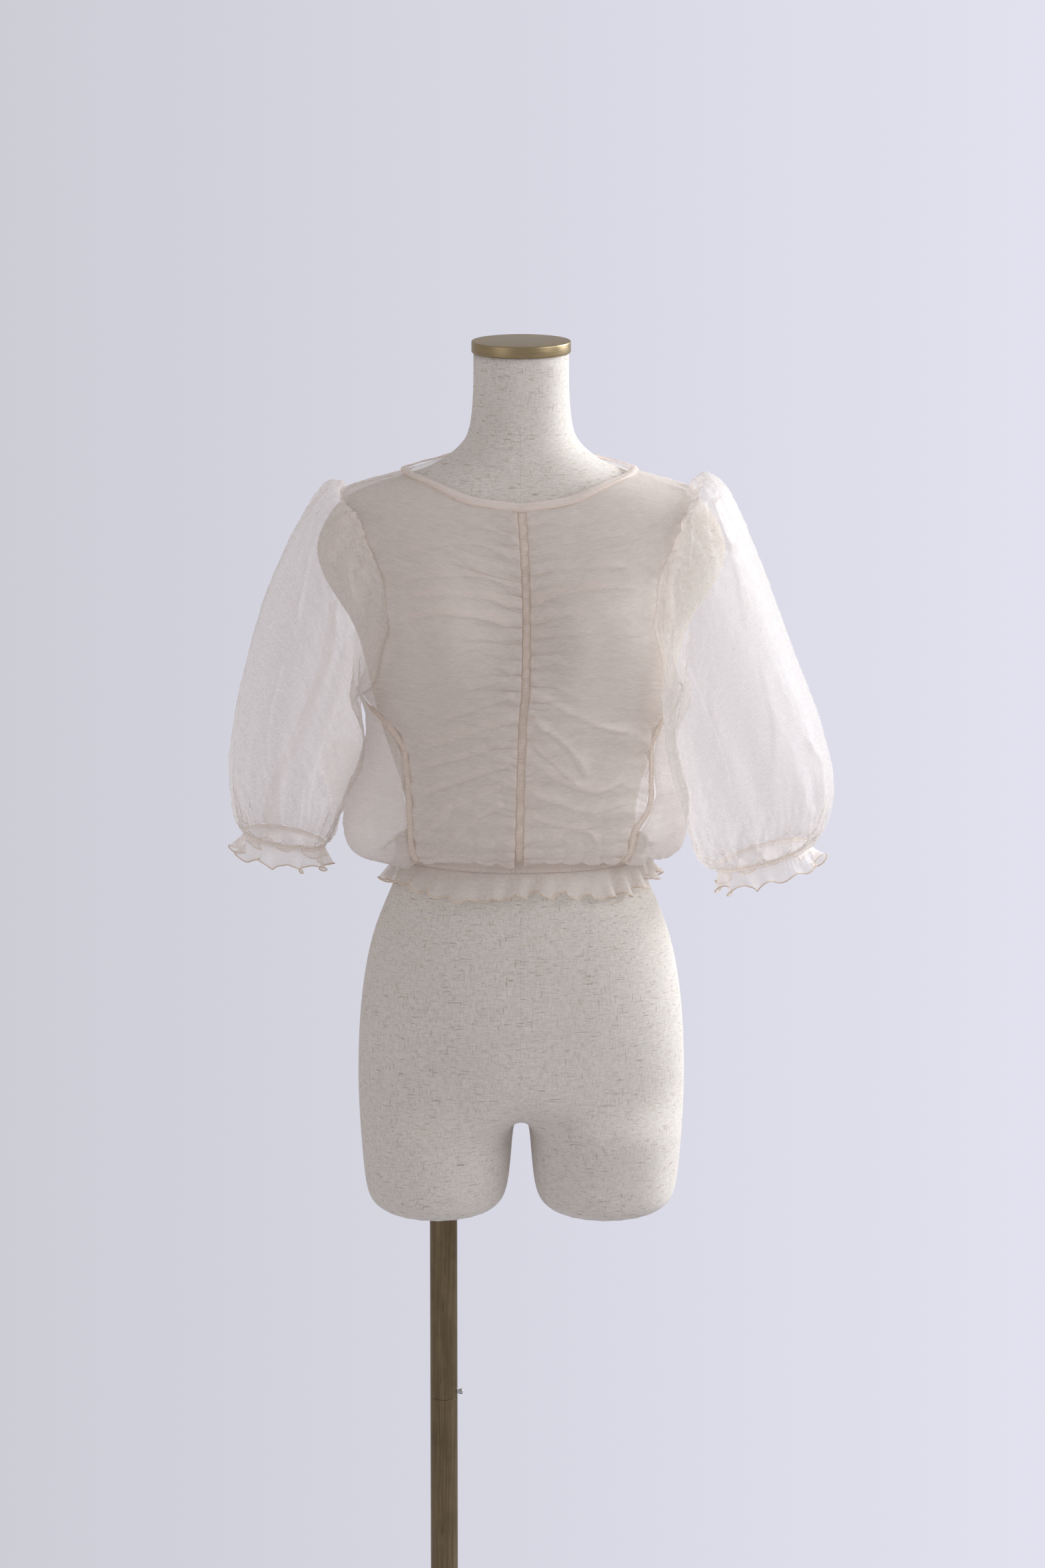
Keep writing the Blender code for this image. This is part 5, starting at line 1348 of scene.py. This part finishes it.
# %% Laying thread along paths
def path_object(name, paths):
    """Paths as loose edges, each point with the direction away from the cloth."""
    points = []
    directions = []
    edges = []
    for line, outward, closed in paths:
        first = len(points)
        points += line.tolist()
        directions += outward.tolist()
        edges += [(first + k, first + k + 1) for k in range(len(line) - 1)]
        if closed:
            edges.append((first + len(line) - 1, first))
    mesh = bpy.data.meshes.new(name)
    mesh.from_pydata(points, edges, [])
    attribute = mesh.attributes.new("outward", "FLOAT_VECTOR", "POINT")
    attribute.data.foreach_set("vector", np.array(directions, np.float32).ravel())
    return linked(name, mesh)


def laid(name, tree, paths, slot, **values):
    """Run a tree along paths and keep the result as a plain mesh."""
    piece = path_object(name, paths)
    modifier = piece.modifiers.new("threads", "NODES")
    modifier.node_group = tree
    sockets = {item.name: item.identifier for item in tree.interface.items_tree if item.in_out == "INPUT"}
    for label, value in values.items():
        modifier[sockets[label]] = value
    graph = bpy.context.evaluated_depsgraph_get()
    mesh = bpy.data.meshes.new_from_object(piece.evaluated_get(graph))
    piece.modifiers.clear()
    piece.data = mesh
    mesh.name = name
    for attribute in [a for a in mesh.attributes if a.name == "outward"]:
        mesh.attributes.remove(attribute)
    return dress(piece, slot)


def along_column(part, column, closed=False):
    grid, normals = part
    return grid[:, column], normals[:, column], closed


def along_row(part, row, closed=True):
    grid, normals = part
    return grid[row], normals[row], closed


# %% [markdown]
# Each strip has two rows of slanted stitches near its edges and short rungs between them.
# The waist and cuffs have a zigzag in the elastic, and the neck and armholes one fine row.

# %% Stitching
tape_rows = []
for node in sorted(strips):
    part = strips[node]
    last = part[0].shape[1] - 1
    tape_rows += [along_column(part, 1), along_column(part, last - 1)]
laid("strip_stitches", STITCHES, tape_rows, "elastic_strip", Pitch=0.0017, Length=0.0022,
     Radius=0.00030, Slant=0.62, Unevenness=0.15, Lift=0.0003, Seed=5, Material=cream_thread)
tape_middles = [along_column(part, part[0].shape[1] // 2) for part in strips.values()]
laid("strip_rungs", STITCHES, tape_middles, "elastic_strip", Pitch=0.0029, Length=0.0062,
     Radius=0.00022, Slant=1.48, Unevenness=0.05, Lift=0.0003, Seed=6, Material=cream_thread)
waist_rows = [along_row(bands["waist_elastic"], row) for row in (2, 6)]
laid("waist_stitches", STITCHES, waist_rows, "elastic_strip", Pitch=0.0024, Length=0.0034,
     Radius=0.00028, Slant=0.75, Unevenness=0.2, Lift=0.0003, Seed=7, Material=cream_thread)
cuff_rows = [along_row(bands[f"cuff_elastic_{word}"], 2) for word in SIDES]
laid("cuff_stitches", STITCHES, cuff_rows, "elastic_strip", Pitch=0.0022, Length=0.0030,
     Radius=0.00026, Slant=0.75, Unevenness=0.2, Lift=0.0003, Seed=8, Material=cream_thread)
neck_row = [along_row((binding_grid, binding_normals), binding_grid.shape[0] - 2)]
laid("neck_stitches", STITCHES, neck_row, "organza", Pitch=0.0026, Length=0.0019,
     Radius=0.00022, Slant=0.08, Unevenness=0.12, Lift=0.0002, Seed=9, Material=cream_thread)
armholes = [along_row((grid, normals), 1) for _, grid, normals in sleeves.values()]
laid("armhole_stitches", STITCHES, armholes, "organza", Pitch=0.0024, Length=0.0018,
     Radius=0.00024, Slant=0.10, Unevenness=0.2, Lift=0.0002, Seed=10, Material=cream_thread)

# %% [markdown]
# The ruffles end in a rolled hem: the raw edge is curled up tight and wrapped with thread.
# A round tube is the roll, and slanted threads wrap it.

# %% Rolled hems
ruffle_ends = [along_row(ruffles[node], -1) for node in sorted(ruffles)]
laid("rolled_hems", EDGES, ruffle_ends, "organza_edge", Radius=0.00062, Lift=-0.0001, Material=tan_thread)
laid("hem_wraps", STITCHES, ruffle_ends, "organza_edge", Pitch=0.0024, Length=0.0021,
     Radius=0.00030, Slant=0.0, Unevenness=0.9, Lift=0.0005, Seed=11, Material=tan_thread)
print("ruffle edges:", len(ruffle_ends))

# %% [markdown]
# ## Seams of the form
#
# The linen cover is cut in panels: one seam runs down the middle and two curve from the
# waist to the crotch, and another circles the foot of the neck. A sewn seam stands up very
# slightly, so a thin welt is laid along each and pressed onto the form.

# %% Form seams
SEAM_RUNS = [
    [(0.000, 1.412), (0.000, 1.360), (0.000, 1.320), (0.000, 1.260), (0.000, 1.180), (0.000, 1.100),
     (0.000, 1.000), (0.000, 0.900), (0.000, 0.800), (0.000, 0.752)],
    [(-0.076, 1.120), (-0.072, 1.040), (-0.073, 0.973), (-0.068, 0.887), (-0.054, 0.814), (-0.026, 0.763),
     (-0.004, 0.747)],
    [(0.076, 1.120), (0.072, 1.040), (0.069, 0.979), (0.068, 0.913), (0.056, 0.843), (0.037, 0.788),
     (0.015, 0.750)],
]


def pressed_run(run, from_behind=False):
    """A run in x and z laid onto the form's front or back."""
    side = 1 if from_behind else -1
    line = []
    outward = []
    for x, z in finer(np.array(run), 12):
        start = Vector((FORM_X + x, side * 0.6, z))
        place, normal, _, _ = form_tree.ray_cast(start, Vector((0, -side, 0)))
        if place is not None:
            line.append(place)
            outward.append(normal)
    return np.array(line), np.array(outward), False


def neck_ring(height, dip, count=96):
    """A closed seam around the foot of the neck, lower in front."""
    line = []
    outward = []
    for k in range(count):
        turn = 2 * math.pi * k / count
        direction = Vector((math.cos(turn), math.sin(turn), 0))
        start = Vector((FORM_X, 0, height + dip * math.sin(turn)))
        place, normal, _, _ = form_tree.ray_cast(start + direction * 0.6, -direction)
        line.append(place)
        outward.append(normal)
    return np.array(line), np.array(outward), True


seam_paths = [pressed_run(run) for run in SEAM_RUNS]
seam_paths.append(pressed_run(SEAM_RUNS[0], from_behind=True))
seam_paths.append(neck_ring(1.402, 0.012))
laid("form_seams", EDGES, seam_paths, "linen", Radius=0.00055, Lift=-0.0003, Material=linen)
print("form seams:", len(seam_paths))

# %% [markdown]
# ## Brass and steel
#
# The cap is turned brass with a fine brushed grain and a small edge. The pole is aged
# brass: brown, with brushed streaks along it, little scratches and a scribed joint. A brass
# colour with full metallic value does the rest, and roughness carries the wear.

# %% Metal materials
CAP_BRASS = (0.400, 0.315, 0.185)
CAP_DARK = (0.270, 0.205, 0.115)
POLE_BRASS = (0.250, 0.190, 0.112)
POLE_DARK = (0.120, 0.090, 0.054)
STEEL = (0.620, 0.620, 0.620)
STEEL_DARK = (0.400, 0.400, 0.410)


def metal(name, colour, dark, grain_scale, wear, roughness):
    s = Shader(name)
    place = s.add("TexCoord").outputs["Object"]
    grain = s.noise(s.stretched(place, grain_scale), 1.0, 3.0, 0.6)
    blotch = s.noise(place, 42.0, 3.0)
    scratch = s.ramp(s.noise(s.stretched(place, (420, 420, 34)), 1.0, 1.0), 0.715, 0.74)
    tone = s.blend(s.ramp(grain, 0.30, 0.70), (*dark, 1), (*colour, 1))
    tone = s.blend(s.math("MULTIPLY", s.ramp(blotch, 0.45, 0.75), wear), tone, (*dark, 1))
    tone = s.blend(s.math("MULTIPLY", scratch, wear), tone, (*dark, 1))
    rough = s.ramp(grain, 0.3, 0.7, roughness - 0.06, roughness + 0.08)
    rough = s.math("ADD", rough, s.math("MULTIPLY", scratch, 0.15))
    bump = s.add("Bump", None, Strength=0.25, Distance=0.0002, Height=grain).outputs[0]
    shader = s.add("BsdfPrincipled", None, Base_Color=tone, Metallic=1.0, Roughness=rough, Normal=bump)
    s.put(s.output, "Surface", shader.outputs[0])
    return s.material


cap_brass = metal("cap_brass", CAP_BRASS, CAP_DARK, (60, 60, 3000), 0.25, 0.34)
pole_brass = metal("pole_brass", POLE_BRASS, POLE_DARK, (900, 900, 14), 0.55, 0.42)
screw_steel = metal("screw_steel", STEEL, STEEL_DARK, (700, 700, 700), 0.2, 0.26)

# %% [markdown]
# ## Turned pieces
#
# Cap, poles and base are all turned about an upright axis, so one lathe makes them from a
# profile of radius and height. Small rounded edges catch the light as real ones do.

# %% Turned pieces


def turned(name, profile, axis_x, segments, material, slot, node):
    """A closed piece turned about an upright axis, with a flat lid at each end."""
    points = []
    for radius, height in profile:
        for k in range(segments):
            turn = 2 * math.pi * k / segments
            points.append((axis_x + radius * math.cos(turn), radius * math.sin(turn), height))
    faces = []
    for i in range(len(profile) - 1):
        for k in range(segments):
            n = (k + 1) % segments
            faces.append((i * segments + k, i * segments + n, (i + 1) * segments + n, (i + 1) * segments + k))
    last = (len(profile) - 1) * segments
    faces.append(tuple(reversed(range(segments))))
    faces.append(tuple(range(last, last + segments)))
    mesh = bpy.data.meshes.new(name)
    mesh.from_pydata(points, [], faces)
    mesh.materials.append(material)
    mesh.shade_smooth()
    mesh.set_sharp_from_angle(angle=math.radians(30))
    return dress(linked(name, mesh), slot, node)


def rounded_edge(radius, height, size, upper, steps=5):
    """Profile points of a quarter-round edge."""
    points = []
    for k in range(steps + 1):
        turn = math.pi / 2 * k / steps
        inset = size * (1 - math.cos(turn)) if upper else size * (1 - math.sin(turn))
        drop = size * (1 - math.sin(turn)) if upper else size * (1 - math.cos(turn))
        points.append((radius - inset, height - drop if upper else height + drop))
    return points


def cylinder_profile(node, edge):
    low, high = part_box(node)
    radius = (high.y - low.y) / 2
    return rounded_edge(radius, low.z, edge, False) + rounded_edge(radius, high.z, edge, True)


cap = turned("neck_cap_brass", cylinder_profile("neck_cap", 0.0012), FORM_X, 128, cap_brass,
             "brushed_brass", "neck_cap")
poles = [
    turned(f"{node}_brass", cylinder_profile(node, 0.0002), 0.0, 64, pole_brass, "aged_brass", node)
    for node in ("pole_lower", "pole_upper")
]
base = turned("base_brass", cylinder_profile("base", 0.0022), 0.0, 160, pole_brass, "aged_brass", "base")
print("turned:", cap.name, base.name, len(poles), "poles")

# %% [markdown]
# The joint of the pole is held by a small set screw. Its head is turned, and a Boolean
# modifier cuts the driver slot across it.

# %% Set screw


def screw_piece():
    """A cheese-head set screw with a slot."""
    low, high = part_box("set_screw")
    radius = (high.z - low.z) / 2
    centre_z = (high.z + low.z) / 2
    head = 0.62 * (high.x - low.x)
    count = 32
    stations = [
        (low.x, radius * 0.8), (high.x - head, radius * 0.8), (high.x - head, radius),
        (high.x - 0.0003, radius), (high.x, radius * 0.90),
    ]
    bm = bmesh.new()
    rings = []
    for x, r in stations:
        turns = [2 * math.pi * (k + 0.5) / count for k in range(count)]
        rings.append([bm.verts.new((x, r * math.cos(t), centre_z + r * math.sin(t))) for t in turns])
    for inner, outer in zip(rings, rings[1:]):
        for k in range(count):
            n = (k + 1) % count
            bm.faces.new((inner[k], inner[n], outer[n], outer[k]))
    bm.faces.new(list(reversed(rings[0])))
    bm.faces.new(rings[-1])
    bmesh.ops.recalc_face_normals(bm, faces=bm.faces)
    mesh = bpy.data.meshes.new("set_screw_steel")
    bm.to_mesh(mesh)
    bm.free()
    mesh.materials.append(screw_steel)
    piece = linked("set_screw_steel", mesh)
    cut = bmesh.new()
    bmesh.ops.create_cube(cut, size=1.0)
    size = Vector((0.5 * head, 4 * radius, 0.34 * radius))
    for vert in cut.verts:
        vert.co = Vector((high.x, 0, centre_z)) + vert.co * size
    cutter_mesh = bpy.data.meshes.new("slot_cutter")
    cut.to_mesh(cutter_mesh)
    cut.free()
    cutter = linked("slot_cutter", cutter_mesh)
    slot = piece.modifiers.new("slot", "BOOLEAN")
    slot.object = cutter
    slot.operation = "DIFFERENCE"
    graph = bpy.context.evaluated_depsgraph_get()
    slotted = bpy.data.meshes.new_from_object(piece.evaluated_get(graph))
    piece.modifiers.clear()
    piece.data = slotted
    slotted.shade_smooth()
    slotted.set_sharp_from_angle(angle=math.radians(30))
    bpy.data.objects.remove(cutter, do_unlink=True)
    return dress(piece, "steel", "set_screw")


screw = screw_piece()
print("screw faces:", len(screw.data.polygons))

# %% [markdown]
# ## The cloth pieces
#
# A gathered piece is cut much larger than the space it fills. Both sleeves come from one
# pattern, and so do both fronts. Here the cloth pieces are only listed by name.


cloth_names = [piece.name for piece in bpy.data.objects if piece.name.endswith("_cloth")]
print("sheets declared:", len(cloth_names))
